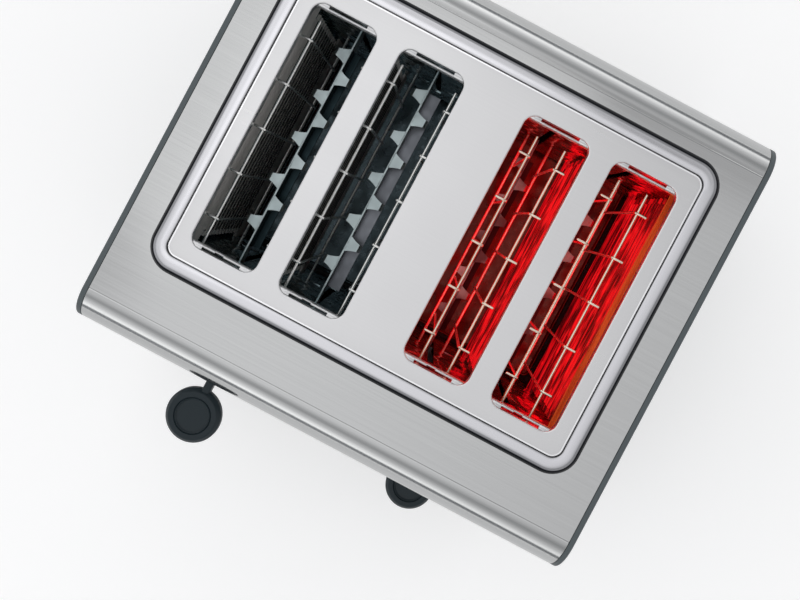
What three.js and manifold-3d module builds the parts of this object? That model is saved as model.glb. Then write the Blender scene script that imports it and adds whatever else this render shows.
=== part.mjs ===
// An electric toaster with four bread slots in two pairs, each pair with its own lever, dial and buttons.
// Millimetres, +Z up, the levers face -Y. The origin is on the table, under the outline's middle.
import * as THREE from "three";
import { mergeVertices } from "three/addons/utils/BufferGeometryUtils.js";
import Module from "manifold-3d";

const wasm = await Module();
wasm.setup();

// Body: the folded steel cover, the two plastic end caps, the base and its feet
const COVER_TOP_HEIGHT = 188;
const COVER_FOLD_RADIUS = 18;
const COVER_WALL = 1.2;
const END_CAP_WALL = 3;
const END_CAP_FLANGE_DEPTH = 8;
const END_CAP_FLANGE_WALL = 2;
const BASE_THICKNESS = 4;
const FOOT_HEIGHT = 8;
const FOOT_RADIUS = 9;
const FOOT_INSET = 24;
const FOOT_CHAMFER = 1.5;

// Top: the slot plate, the slots in it and the polished bead around it
const SLOT_LENGTH = 140;
const SLOT_WIDTH = 36.4;
const SLOT_GAP = 13.7;
const PAIR_GAP = 35.4;
const SLOT_CORNER_RADIUS = 6.5;
const SLOT_FRONT_MARGIN = 9.6;
const SLOT_REAR_MARGIN = 11.4;
const SLOT_SIDE_MARGIN = 8.8;
const PLATE_RISE = 2;
const PLATE_WALL = 1.2;
const PLATE_RIM_DEPTH = 4;
const PLATE_CORNER_RADIUS = 6;
const PLATE_FRONT_MARGIN = 52.7;
const PLATE_REAR_MARGIN = 33.3;
const PLATE_SIDE_MARGIN = 28.5;
const BEAD_WIDTH = 9;
const BEAD_RISE = 4.5;
const COVER_OPENING_MARGIN = 3;
const SLOT_LIP_DEPTH = 5;
const SLOT_LIP_RADIUS = 3.6;

// Chambers: the walls in front of and behind the slots, the heat shields and the heating elements
const ELEMENT_INNER_MARGIN = 5.85;
const ELEMENT_OUTER_MARGIN = 5.05;
const BULKHEAD_SETBACK = 3;
const BULKHEAD_WALL = 1.2;
const BULKHEAD_OVERLAP = 5;
const SHIELD_WALL = 1;
const SIDE_SHIELD_SETBACK = 5;
const CENTRE_SHIELD_SETBACK = 4;
const SHIELD_BOTTOM_HEIGHT = 30;
const ELEMENT_BOARD_WALL = 1.4;
const ELEMENT_BOTTOM_HEIGHT = 42;
const ELEMENT_TOP_DROP = 18;
const ELEMENT_NOTCH_DEPTH = 7;
const RIBBON_BOTTOM_HEIGHT = 65;
const RIBBON_TOP_MARGIN = 23;
const RIBBON_PITCH = 7.6;
const RIBBON_WIDTH = 2.2;
const RIBBON_THICKNESS = 0.5;
const RIBBON_SINK = 0.15;

// Guide grids: the wire grids that close on the bread from both sides
const GUIDE_TOP_DROP = 16;
const GUIDE_WIRE_RADIUS = 0.75;
const GUIDE_ELEMENT_GAP = 8.55;
const GUIDE_CLOSED_HALF_GAP = 8.2;
const GUIDE_UPRIGHT_COUNT = 5;
const GUIDE_END_MARGIN = 17.2;
const GUIDE_UPRIGHT_SETBACK = 1.2;
const GUIDE_MIDDLE_OFFSET = -1.3;
const GUIDE_BAR_REACH = 5.4;
const GUIDE_REAR_CLEARANCE = 10;
const GUIDE_FOOT_GAP = 10.5;
const GUIDE_FOOT_WIRE_SPACING = 3.4;
const GUIDE_WIRE_CLEARANCE = 0.4;
const GUIDE_WIRE_OVERHANG = 1;

// Bread racks: the slats that carry the bread
const RACK_DROP = 48.5;
const RACK_WALL = 1.2;
const RACK_STRIP_HEIGHT = 12;
const RACK_FIN_LENGTH = 8;
const RACK_FIN_ROOT = 9.6;
const RACK_FIN_TIP = 4.2;
const RACK_FIN_OFFSET = 5;
const RACK_LEDGE_WIDTH = 5;
const RACK_ARM_LENGTH = 8;
const RACK_SLIT_CLEARANCE = 1.4;

// Levers: the round finger knobs, their carriages, rods, springs and holding magnets
const LEVER_DROP = 28;
const LEVER_PANEL_GAP = 16;
const LEVER_OFFSET = 3.95;
const LEVER_REACH = 22.5;
const LEVER_RADIUS = 15;
const LEVER_THICKNESS = 9;
const LEVER_CHAMFER = 1.6;
const LEVER_DISH_RADIUS = 9.4;
const LEVER_DISH_DEPTH = 1;
const LEVER_NECK_WIDTH = 4.6;
const LEVER_NECK_HEIGHT = 7;
const LEVER_NECK_INSIDE = 7;
const LEVER_SLOT_CLEARANCE = 1.2;
const CARRIAGE_WALL = 2;
const CARRIAGE_SIDE_MARGIN = 4;
const CARRIAGE_DEPTH = 24;
const CARRIAGE_BULKHEAD_GAP = 6;
const CARRIAGE_ARM_WALL = 3;
const CARRIAGE_BUSH_RADIUS = 6;
const CARRIAGE_BUSH_HEIGHT = 22;
const ROD_RADIUS = 3;
const ROD_CLEARANCE = 0.3;
const ROD_OFFSET = -9.55;
const SPRING_OFFSET = 16.45;
const SPRING_COIL_RADIUS = 3.2;
const SPRING_WIRE_RADIUS = 0.6;
const SPRING_TURNS = 8;
const TAB_HALF_WIDTH = 9;
const TAB_FRONT_MARGIN = 10;
const MAGNET_WIDTH = 18;
const MAGNET_HEIGHT = 17;
const ARMATURE_THICKNESS = 4;

// Controls: the panels, dials, buttons and circuit boards
const PANEL_WIDTH = 96;
const PANEL_HEIGHT = 44;
const PANEL_CORNER_RADIUS = 6;
const PANEL_CENTRE_HEIGHT = 47;
const PANEL_PROUD = 1.5;
const PANEL_FLANGE_WIDTH = 3;
const PANEL_FLANGE_WALL = 2;
const PANEL_BOSS_RADIUS = 3;
const DIAL_MARGIN = 26;
const DIAL_RADIUS = 15;
const DIAL_DEPTH = 14;
const DIAL_SKIRT_DEPTH = 3;
const DIAL_CAP_RADIUS = 12.5;
const DIAL_GRIP_WIDTH = 5;
const DIAL_GRIP_HEIGHT = 2.5;
const DIAL_STEM_RADIUS = 3;
const DIAL_GAP = 0.5;
const DIAL_BUTTON_GAP = 16;
const BUTTON_MARGIN = 9;
const BUTTON_HEIGHT = 8;
const BUTTON_CORNER_RADIUS = 3;
const BUTTON_COUNT = 3;
const BUTTON_PITCH = 11.5;
const BUTTON_PROUD = 2;
const BUTTON_DEPTH = 7;
const BUTTON_TRAVEL = 1.5;
const BUTTON_CLEARANCE = 0.4;
const BUTTON_STEM_RADIUS = 2;
const BOARD_SETBACK = 14;
const BOARD_WALL = 1.6;
const BOARD_SIDE_MARGIN = 3;
const BOARD_RISE = 5;
const SENSOR_RADIUS = 8;
const SENSOR_DEPTH = 6;
const SWITCH_DEPTH = 3;

// Crumb trays and the cord's gland at the back
const TRAY_WIDTH = 98;
const TRAY_WALL = 1.2;
const TRAY_RIM_HEIGHT = 7;
const TRAY_FACE_OVERLAP = 1.5;
const TRAY_FACE_HEIGHT = 12;
const TRAY_FACE_WALL = 3;
const TRAY_FACE_PROUD = 1.5;
const TRAY_FRONT_CLEARANCE = 3;
const TRAY_MOUTH_CLEARANCE = 0.4;
const TRAY_TUNNEL_HEIGHT = 14;
const GLAND_SIDE_MARGIN = 23.5;
const GLAND_HEIGHT = 46;
const GLAND_PROUD = 2.5;
const GLAND_FLANGE_RADIUS = 8.5;
const GLAND_NECK_RADIUS = 6.2;
const GLAND_BORE_RADIUS = 3.8;

// Clearances and how finely round shapes are cut
const SEAT_GAP = 0.3;
const OVERRUN = 2;
const WELD_DISTANCE = 0.001;
const CORNER_STEPS = 4;
const SMALL_CORNER_STEPS = 3;
const FOLD_STEPS = 6;
const ROUND_STEPS = 20;
const KNOB_STEPS = 32;
const SMALL_ROUND_STEPS = 12;
const WIRE_SIDES = 6;
const SPRING_STEPS = 8;
const SPRING_SIDES = 5;

// Sizes and places worked out from the sizes above, from the slots outwards
const INNER_SLOT_X = (PAIR_GAP + SLOT_WIDTH) / 2;
const OUTER_SLOT_X = INNER_SLOT_X + SLOT_WIDTH + SLOT_GAP;
const PLATE_WIDTH = 2 * OUTER_SLOT_X + SLOT_WIDTH + 2 * SLOT_SIDE_MARGIN;
const PLATE_DEPTH = SLOT_FRONT_MARGIN + SLOT_LENGTH + SLOT_REAR_MARGIN;
const PLATE_TOP_HEIGHT = COVER_TOP_HEIGHT + PLATE_RISE;
const BEAD_TOP_HEIGHT = COVER_TOP_HEIGHT + BEAD_RISE;
const BODY_WIDTH = PLATE_WIDTH + 2 * PLATE_SIDE_MARGIN;
const BODY_DEPTH = PLATE_FRONT_MARGIN + PLATE_DEPTH + PLATE_REAR_MARGIN;
const BODY_CENTRE_Y = (LEVER_REACH + LEVER_RADIUS - GLAND_PROUD) / 2;
const FRONT_Y = BODY_CENTRE_Y - BODY_DEPTH / 2;
const REAR_Y = BODY_CENTRE_Y + BODY_DEPTH / 2;
const BODY_HALF_WIDTH = BODY_WIDTH / 2;
const COVER_HALF_WIDTH = BODY_HALF_WIDTH - END_CAP_WALL - SEAT_GAP;
const BASE_TOP_HEIGHT = FOOT_HEIGHT + BASE_THICKNESS;
const COVER_BOTTOM_HEIGHT = BASE_TOP_HEIGHT + SEAT_GAP;
const PLATE_FRONT_Y = FRONT_Y + PLATE_FRONT_MARGIN;
const PLATE_REAR_Y = PLATE_FRONT_Y + PLATE_DEPTH;
const PLATE_CENTRE_Y = (PLATE_FRONT_Y + PLATE_REAR_Y) / 2;
const SLOT_FRONT_Y = PLATE_FRONT_Y + SLOT_FRONT_MARGIN;
const SLOT_REAR_Y = SLOT_FRONT_Y + SLOT_LENGTH;
const SLOT_CENTRE_Y = (SLOT_FRONT_Y + SLOT_REAR_Y) / 2;
const CHAMBER_FRONT_Y = SLOT_FRONT_Y - BULKHEAD_SETBACK;
const CHAMBER_REAR_Y = SLOT_REAR_Y + BULKHEAD_SETBACK;
const CHAMBER_TOP_HEIGHT = PLATE_TOP_HEIGHT - PLATE_RIM_DEPTH - SEAT_GAP;
const BULKHEAD_HALF_WIDTH = PLATE_WIDTH / 2 + BULKHEAD_OVERLAP;
const INNER_ELEMENT_X = INNER_SLOT_X - SLOT_WIDTH / 2 - ELEMENT_INNER_MARGIN;
const OUTER_ELEMENT_X = OUTER_SLOT_X + SLOT_WIDTH / 2 + ELEMENT_OUTER_MARGIN;
const PAIR_X = (INNER_ELEMENT_X + OUTER_ELEMENT_X) / 2;
const CHAMBER_HALF_WIDTH = (OUTER_ELEMENT_X - INNER_ELEMENT_X) / 4;
const INNER_CHAMBER_X = INNER_ELEMENT_X + CHAMBER_HALF_WIDTH;
const OUTER_CHAMBER_X = OUTER_ELEMENT_X - CHAMBER_HALF_WIDTH;
const ELEMENT_TOP_HEIGHT = PLATE_TOP_HEIGHT - ELEMENT_TOP_DROP;
const RIBBON_SPAN = ELEMENT_TOP_HEIGHT - RIBBON_TOP_MARGIN - RIBBON_BOTTOM_HEIGHT;
const RIBBON_TURNS = Math.floor(RIBBON_SPAN / RIBBON_PITCH);
const LEVER_X = PAIR_X + LEVER_OFFSET;
const ROD_X = PAIR_X + ROD_OFFSET;
const SPRING_X = PAIR_X + SPRING_OFFSET;
const PANEL_TOP_HEIGHT = PANEL_CENTRE_HEIGHT + PANEL_HEIGHT / 2;
const LEVER_HEIGHT = COVER_TOP_HEIGHT - LEVER_DROP;
const LEVER_TRAVEL = LEVER_HEIGHT - LEVER_PANEL_GAP - PANEL_TOP_HEIGHT;
const RAISED_RACK_HEIGHT = PLATE_TOP_HEIGHT - RACK_DROP;
const LOWERED_RACK_HEIGHT = RAISED_RACK_HEIGHT - LEVER_TRAVEL;
const GUIDE_OPEN_HALF_GAP = CHAMBER_HALF_WIDTH - GUIDE_ELEMENT_GAP;
const GUIDE_UPRIGHT_PITCH = (SLOT_LENGTH - 2 * GUIDE_END_MARGIN) / (GUIDE_UPRIGHT_COUNT - 1);
const GUIDE_TOP_HEIGHT = PLATE_TOP_HEIGHT - GUIDE_TOP_DROP;
const GUIDE_FOOT_WIRE_HEIGHT = LOWERED_RACK_HEIGHT + GUIDE_FOOT_GAP;
const TAB_BOTTOM_HEIGHT = CHAMBER_TOP_HEIGHT - BULKHEAD_WALL;
const CARRIAGE_REAR_Y = CHAMBER_FRONT_Y - BULKHEAD_WALL - CARRIAGE_BULKHEAD_GAP;
const CARRIAGE_FRONT_Y = CARRIAGE_REAR_Y - CARRIAGE_DEPTH;
const ROD_Y = (CARRIAGE_REAR_Y + CARRIAGE_FRONT_Y) / 2;
const PANEL_FACE_Y = FRONT_Y - PANEL_PROUD;
const BOARD_FRONT_Y = FRONT_Y + BOARD_SETBACK;
const DIAL_OFFSET = DIAL_MARGIN - PANEL_WIDTH / 2;
const BUTTON_LEFT = DIAL_OFFSET + DIAL_RADIUS + DIAL_BUTTON_GAP;
const BUTTON_RIGHT = PANEL_WIDTH / 2 - BUTTON_MARGIN;
const BUTTON_OFFSET = (BUTTON_LEFT + BUTTON_RIGHT) / 2;
const BUTTON_WIDTH = BUTTON_RIGHT - BUTTON_LEFT;
const BOARD_WIDTH = PANEL_WIDTH - 2 * BOARD_SIDE_MARGIN;
const BOARD_TOP_HEIGHT = PANEL_TOP_HEIGHT + BOARD_RISE;
const NECK_END_Y = FRONT_Y + COVER_WALL + LEVER_NECK_INSIDE;
const TRAY_FACE_WIDTH = TRAY_WIDTH + 2 * TRAY_FACE_OVERLAP;
const GLAND_X = GLAND_SIDE_MARGIN - BODY_HALF_WIDTH;
const TRAY_BOTTOM_HEIGHT = BASE_TOP_HEIGHT + SEAT_GAP;

// The two pairs of slots: the left one is off with its lever up, the right one toasts with its lever down.
const PAIRS = [
  { name: "left", side: -1, drop: 0, guideHalfGap: GUIDE_OPEN_HALF_GAP },
  { name: "right", side: 1, drop: LEVER_TRAVEL, guideHalfGap: GUIDE_CLOSED_HALF_GAP },
];
const CHAMBER_PLACES = [-OUTER_CHAMBER_X, -INNER_CHAMBER_X, INNER_CHAMBER_X, OUTER_CHAMBER_X];
const SLOT_PLACES = [-OUTER_SLOT_X, -INNER_SLOT_X, INNER_SLOT_X, OUTER_SLOT_X];

// Materials, one for each finish
function finish(color, roughness, metalness) {
  return new THREE.MeshStandardMaterial({ color, roughness, metalness });
}
const brushedSteel = finish("#b9babc", 0.35, 1);
const polishedSteel = finish("#dcdde0", 0.12, 1);
const satinSteel = finish("#d0d1d6", 0.3, 1);
const sheetSteel = finish("#9aa3a6", 0.4, 1);
const springSteel = finish("#a8a8a4", 0.3, 1);
const darkPlastic = finish("#2c3539", 0.55, 0);
const capPlastic = finish("#4b5355", 0.6, 0);
const blackPlastic = finish("#1d2022", 0.6, 0);
const blackRubber = finish("#17181a", 0.9, 0);
const mica = finish("#6b5b49", 0.7, 0);
const glowingMica = finish("#b02014", 0.7, 0);
const greenBoard = finish("#2f5d3a", 0.6, 0);
const copperCoil = finish("#8d4f2e", 0.4, 1);

const toaster = new THREE.Group();

// A closed mesh's geometry as a solid that can be cut and joined.
function solidOf(geometry) {
  const bare = geometry.clone();
  bare.deleteAttribute("normal");
  bare.deleteAttribute("uv");
  const merged = mergeVertices(bare, WELD_DISTANCE);
  const corners = merged.index.array;
  const kept = [];
  for (let i = 0; i < corners.length; i += 3) {
    const [a, b, c] = corners.slice(i, i + 3);
    if (a !== b && b !== c && c !== a) kept.push(a, b, c);
  }
  return new wasm.Manifold(
    new wasm.Mesh({
      numProp: 3,
      vertProperties: Float32Array.from(merged.attributes.position.array),
      triVerts: Uint32Array.from(kept),
    }),
  );
}

// Adds a solid to the toaster as one named sub-part.
function place(name, solid, material) {
  const data = solid.getMesh();
  const geometry = new THREE.BufferGeometry();
  geometry.setAttribute("position", new THREE.BufferAttribute(data.vertProperties, 3));
  geometry.setIndex(new THREE.BufferAttribute(data.triVerts, 1));
  geometry.computeVertexNormals();
  const mesh = new THREE.Mesh(geometry, material);
  mesh.name = name;
  toaster.add(mesh);
}

function join(...solids) {
  return solids.reduce((whole, next) => whole.add(next));
}

// A block between two corners.
function block(lowX, highX, lowY, highY, lowZ, highZ) {
  const geometry = new THREE.BoxGeometry(highX - lowX, highY - lowY, highZ - lowZ);
  geometry.translate((lowX + highX) / 2, (lowY + highY) / 2, (lowZ + highZ) / 2);
  return solidOf(geometry);
}

// A closed outline, extruded along +Z from the height lowZ to highZ.
function upright(outline, lowZ, highZ, steps = CORNER_STEPS) {
  const geometry = new THREE.ExtrudeGeometry(outline, {
    depth: highZ - lowZ,
    bevelEnabled: false,
    curveSegments: steps,
  });
  geometry.translate(0, 0, lowZ);
  return solidOf(geometry);
}

// An outline drawn in Y and Z, extruded along X.
function acrossX(outline, lowX, highX, steps = FOLD_STEPS) {
  const geometry = new THREE.ExtrudeGeometry(outline, {
    depth: highX - lowX,
    bevelEnabled: false,
    curveSegments: steps,
  });
  const turn = new THREE.Matrix4().makeBasis(
    new THREE.Vector3(0, 1, 0),
    new THREE.Vector3(0, 0, 1),
    new THREE.Vector3(1, 0, 0),
  );
  geometry.applyMatrix4(turn);
  geometry.translate(lowX, 0, 0);
  return solidOf(geometry);
}

// An outline drawn in X and Z, extruded along Y.
function acrossY(outline, lowY, highY, steps = CORNER_STEPS) {
  const geometry = new THREE.ExtrudeGeometry(outline, {
    depth: highY - lowY,
    bevelEnabled: false,
    curveSegments: steps,
  });
  geometry.rotateX(Math.PI / 2);
  geometry.translate(0, highY, 0);
  return solidOf(geometry);
}

// A rectangle with round corners about a centre.
function roundedRectangle(centreX, centreY, width, depth, radius) {
  const left = centreX - width / 2;
  const right = centreX + width / 2;
  const low = centreY - depth / 2;
  const high = centreY + depth / 2;
  const shape = new THREE.Shape();
  shape.moveTo(left + radius, low);
  shape.lineTo(right - radius, low);
  shape.absarc(right - radius, low + radius, radius, -Math.PI / 2, 0);
  shape.lineTo(right, high - radius);
  shape.absarc(right - radius, high - radius, radius, 0, Math.PI / 2);
  shape.lineTo(left + radius, high);
  shape.absarc(left + radius, high - radius, radius, Math.PI / 2, Math.PI);
  shape.lineTo(left, low + radius);
  shape.absarc(left + radius, low + radius, radius, Math.PI, Math.PI * 1.5);
  return shape;
}

function polygon(points) {
  return new THREE.Shape(points.map(([x, y]) => new THREE.Vector2(x, y)));
}

// A round bar between two points.
function bar(from, to, radius, sides) {
  const start = new THREE.Vector3(...from);
  const end = new THREE.Vector3(...to);
  const along = end.clone().sub(start);
  const geometry = new THREE.CylinderGeometry(radius, radius, along.length(), sides);
  const turn = new THREE.Quaternion().setFromUnitVectors(
    new THREE.Vector3(0, 1, 0),
    along.clone().normalize(),
  );
  geometry.applyQuaternion(turn);
  const middle = start.add(end).divideScalar(2);
  geometry.translate(middle.x, middle.y, middle.z);
  return solidOf(geometry);
}

// A turned piece: its profile gives radius and height, and its axis stands at (x, y).
function turned(profile, x, y, steps = ROUND_STEPS) {
  const points = profile.map(([radius, height]) => new THREE.Vector2(radius, height));
  const geometry = new THREE.LatheGeometry(points, steps);
  geometry.rotateX(Math.PI / 2);
  geometry.translate(x, y, 0);
  return solidOf(geometry);
}

// A turned piece whose axis runs along Y: its profile gives radius and the distance towards +Y.
function turnedAlongY(profile, x, z, steps = ROUND_STEPS) {
  const points = profile.map(([radius, distance]) => new THREE.Vector2(radius, distance));
  const geometry = new THREE.LatheGeometry(points, steps);
  geometry.translate(x, 0, z);
  return solidOf(geometry);
}

// The side view of the body, set in by a wall: front, round fold, top, round fold and back.
function bodyProfile(inset, bottom) {
  const front = FRONT_Y + inset;
  const rear = REAR_Y - inset;
  const top = COVER_TOP_HEIGHT - inset;
  const radius = COVER_FOLD_RADIUS - inset;
  const shape = new THREE.Shape();
  shape.moveTo(front, bottom);
  shape.lineTo(rear, bottom);
  shape.lineTo(rear, top - radius);
  shape.absarc(rear - radius, top - radius, radius, 0, Math.PI / 2);
  shape.lineTo(front + radius, top);
  shape.absarc(front + radius, top - radius, radius, Math.PI / 2, Math.PI);
  return shape;
}

// Outer cover: one brushed steel sheet, folded over the front, the top and the back
function makeCover() {
  const outside = acrossX(bodyProfile(0, COVER_BOTTOM_HEIGHT), -COVER_HALF_WIDTH, COVER_HALF_WIDTH);
  const inside = acrossX(
    bodyProfile(COVER_WALL, COVER_BOTTOM_HEIGHT - OVERRUN),
    -COVER_HALF_WIDTH - OVERRUN,
    COVER_HALF_WIDTH + OVERRUN,
  );
  const topOpening = upright(
    roundedRectangle(
      0,
      PLATE_CENTRE_Y,
      PLATE_WIDTH + 2 * COVER_OPENING_MARGIN,
      PLATE_DEPTH + 2 * COVER_OPENING_MARGIN,
      PLATE_CORNER_RADIUS + COVER_OPENING_MARGIN,
    ),
    COVER_TOP_HEIGHT - COVER_WALL - OVERRUN,
    COVER_TOP_HEIGHT + OVERRUN,
  );
  let cover = outside.subtract(inside).subtract(topOpening);
  const frontFrom = FRONT_Y - OVERRUN;
  const frontTo = FRONT_Y + COVER_WALL + OVERRUN;
  const slotHalfHeight = LEVER_NECK_HEIGHT / 2 + LEVER_SLOT_CLEARANCE;
  const slotHalfWidth = LEVER_NECK_WIDTH / 2 + LEVER_SLOT_CLEARANCE;
  for (const { side } of PAIRS) {
    const leverSlot = block(
      side * LEVER_X - slotHalfWidth,
      side * LEVER_X + slotHalfWidth,
      frontFrom,
      frontTo,
      LEVER_HEIGHT - LEVER_TRAVEL - slotHalfHeight,
      LEVER_HEIGHT + slotHalfHeight,
    );
    const panelWindow = acrossY(
      roundedRectangle(
        side * LEVER_X,
        PANEL_CENTRE_HEIGHT,
        PANEL_WIDTH + 2 * SEAT_GAP,
        PANEL_HEIGHT + 2 * SEAT_GAP,
        PANEL_CORNER_RADIUS + SEAT_GAP,
      ),
      frontFrom,
      frontTo,
    );
    const trayMouth = block(
      side * PAIR_X - TRAY_FACE_WIDTH / 2 - TRAY_MOUTH_CLEARANCE,
      side * PAIR_X + TRAY_FACE_WIDTH / 2 + TRAY_MOUTH_CLEARANCE,
      REAR_Y - COVER_WALL - OVERRUN,
      REAR_Y + OVERRUN,
      COVER_BOTTOM_HEIGHT - OVERRUN,
      TRAY_BOTTOM_HEIGHT + TRAY_FACE_HEIGHT + TRAY_MOUTH_CLEARANCE,
    );
    cover = cover.subtract(leverSlot).subtract(panelWindow).subtract(trayMouth);
  }
  const glandHole = bar(
    [GLAND_X, REAR_Y - COVER_WALL - OVERRUN, GLAND_HEIGHT],
    [GLAND_X, REAR_Y + OVERRUN, GLAND_HEIGHT],
    GLAND_NECK_RADIUS + SEAT_GAP,
    ROUND_STEPS,
  );
  place("outer_cover", cover.subtract(glandHole), brushedSteel);
}

// End caps: moulded plates that close the two sides, with a flange that sits inside the cover
function makeEndCap(name, side) {
  const inner = side * (BODY_HALF_WIDTH - END_CAP_WALL);
  const outer = side * BODY_HALF_WIDTH;
  const flangeEnd = inner - side * END_CAP_FLANGE_DEPTH;
  const plate = acrossX(bodyProfile(0, FOOT_HEIGHT), Math.min(inner, outer), Math.max(inner, outer));
  const flangeLow = Math.min(flangeEnd, inner);
  const flangeHigh = Math.max(flangeEnd, inner);
  const flangeInset = COVER_WALL + SEAT_GAP;
  const flangeOutside = acrossX(
    bodyProfile(flangeInset, COVER_BOTTOM_HEIGHT),
    side > 0 ? flangeLow : flangeLow - SEAT_GAP,
    side > 0 ? flangeHigh + SEAT_GAP : flangeHigh,
  );
  const flangeInside = acrossX(
    bodyProfile(flangeInset + END_CAP_FLANGE_WALL, COVER_BOTTOM_HEIGHT - OVERRUN),
    flangeLow - OVERRUN,
    flangeHigh + OVERRUN,
  );
  const flange = flangeOutside
    .subtract(flangeInside)
    .intersect(
      block(
        flangeLow,
        flangeHigh,
        FRONT_Y,
        REAR_Y,
        COVER_BOTTOM_HEIGHT,
        COVER_TOP_HEIGHT,
      ),
    );
  place(name, plate.add(flange), capPlastic);
}

// Base and feet: the plate that everything stands on, and four rubber feet under it
function makeBase() {
  const base = block(
    -COVER_HALF_WIDTH,
    COVER_HALF_WIDTH,
    FRONT_Y,
    REAR_Y,
    FOOT_HEIGHT,
    BASE_TOP_HEIGHT,
  );
  place("base_plate", base, blackPlastic);
  const footTop = FOOT_HEIGHT - SEAT_GAP;
  const profile = [
    [0, 0],
    [FOOT_RADIUS - FOOT_CHAMFER, 0],
    [FOOT_RADIUS, FOOT_CHAMFER],
    [FOOT_RADIUS, footTop],
    [0, footTop],
  ];
  let number = 1;
  for (const y of [FRONT_Y + FOOT_INSET, REAR_Y - FOOT_INSET]) {
    for (const side of [-1, 1]) {
      const x = side * (BODY_HALF_WIDTH - FOOT_INSET);
      place(`rubber_foot_${number}`, turned(profile, x, y), blackRubber);
      number += 1;
    }
  }
}

// Slot plate: a pressed lid with a turned-down rim, four bread slots and a lip round each slot
function makeSlotPlate() {
  const underside = PLATE_TOP_HEIGHT - PLATE_WALL;
  const rimBottom = PLATE_TOP_HEIGHT - PLATE_RIM_DEPTH;
  const lipBottom = PLATE_TOP_HEIGHT - SLOT_LIP_DEPTH;
  const outline = roundedRectangle(0, PLATE_CENTRE_Y, PLATE_WIDTH, PLATE_DEPTH, PLATE_CORNER_RADIUS);
  const hollow = roundedRectangle(
    0,
    PLATE_CENTRE_Y,
    PLATE_WIDTH - 2 * PLATE_WALL,
    PLATE_DEPTH - 2 * PLATE_WALL,
    PLATE_CORNER_RADIUS - PLATE_WALL,
  );
  let plate = upright(outline, rimBottom, PLATE_TOP_HEIGHT).subtract(
    upright(hollow, rimBottom - OVERRUN, underside),
  );
  const slotAt = (x, grow) =>
    roundedRectangle(
      x,
      SLOT_CENTRE_Y,
      SLOT_WIDTH + 2 * grow,
      SLOT_LENGTH + 2 * grow,
      SLOT_CORNER_RADIUS + grow,
    );
  for (const x of SLOT_PLACES) {
    plate = plate.add(upright(slotAt(x, PLATE_WALL), lipBottom, underside + PLATE_WALL / 2));
  }
  for (const x of SLOT_PLACES) {
    plate = plate.subtract(upright(slotAt(x, 0), lipBottom - OVERRUN, PLATE_TOP_HEIGHT + OVERRUN));
  }
  for (const x of SLOT_PLACES) {
    plate = plate.add(endLip(x, SLOT_FRONT_Y, 1)).add(endLip(x, SLOT_REAR_Y, -1));
  }
  place("slot_plate", plate, satinSteel);
}

// A curved lip at one end of a slot: it bends down into the slot over a quarter circle.
function endLip(x, endY, inward) {
  const halfWidth = SLOT_WIDTH / 2 - SLOT_CORNER_RADIUS / 2;
  const radius = SLOT_LIP_RADIUS;
  const low = PLATE_TOP_HEIGHT - SLOT_LIP_DEPTH;
  const quarter = [];
  for (let i = 0; i <= SMALL_CORNER_STEPS; i += 1) {
    const angle = (i / SMALL_CORNER_STEPS) * (Math.PI / 2);
    quarter.push([
      endY + inward * radius * Math.sin(angle),
      low + radius * Math.cos(angle),
    ]);
  }
  const outline = [
    [endY - inward * PLATE_WALL / 2, low + radius],
    ...quarter,
    [endY + inward * (radius - PLATE_WALL), low],
    [endY - inward * PLATE_WALL / 2, low],
  ];
  if (inward > 0) outline.reverse();
  return acrossX(polygon(outline), x - halfWidth, x + halfWidth);
}

// Bead: the polished half-round ring that covers the joint between the cover and the slot plate
function makeBead() {
  const bottom = COVER_TOP_HEIGHT + SEAT_GAP;
  const height = BEAD_TOP_HEIGHT - bottom;
  const steps = CORNER_STEPS + 1;
  const loops = [];
  for (let i = 0; i <= steps; i += 1) {
    const angle = (i / steps) * Math.PI;
    const reach = SEAT_GAP + (BEAD_WIDTH - SEAT_GAP) * (1 - Math.cos(angle)) / 2;
    loops.push({ reach, z: bottom + height * Math.sin(angle) });
  }
  const positions = [];
  const count = 4 * (CORNER_STEPS + 1);
  for (const { reach, z } of loops) {
    for (const [x, y] of ringPoints(reach)) positions.push(x, y, z);
  }
  const faces = [];
  for (let i = 0; i < loops.length; i += 1) {
    const next = (i + 1) % loops.length;
    for (let j = 0; j < count; j += 1) {
      const beside = (j + 1) % count;
      const a = i * count + j;
      const b = i * count + beside;
      const c = next * count + beside;
      const d = next * count + j;
      faces.push(a, c, b, a, d, c);
    }
  }
  place("plate_bead", solidOf(facetedGeometry(positions, faces)), polishedSteel);
}

// The plate's outline, grown by a reach, as points in order.
function ringPoints(reach) {
  const radius = PLATE_CORNER_RADIUS + reach;
  const halfWidth = PLATE_WIDTH / 2 - PLATE_CORNER_RADIUS;
  const halfDepth = PLATE_DEPTH / 2 - PLATE_CORNER_RADIUS;
  const corners = [
    [halfWidth, -halfDepth, -Math.PI / 2],
    [halfWidth, halfDepth, 0],
    [-halfWidth, halfDepth, Math.PI / 2],
    [-halfWidth, -halfDepth, Math.PI],
  ];
  const points = [];
  for (const [x, y, start] of corners) {
    for (let i = 0; i <= CORNER_STEPS; i += 1) {
      const angle = start + (i / CORNER_STEPS) * (Math.PI / 2);
      points.push([x + radius * Math.cos(angle), PLATE_CENTRE_Y + y + radius * Math.sin(angle)]);
    }
  }
  return points;
}

function facetedGeometry(positions, faces) {
  const geometry = new THREE.BufferGeometry();
  geometry.setAttribute("position", new THREE.Float32BufferAttribute(positions, 3));
  geometry.setIndex(faces);
  return geometry;
}

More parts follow.
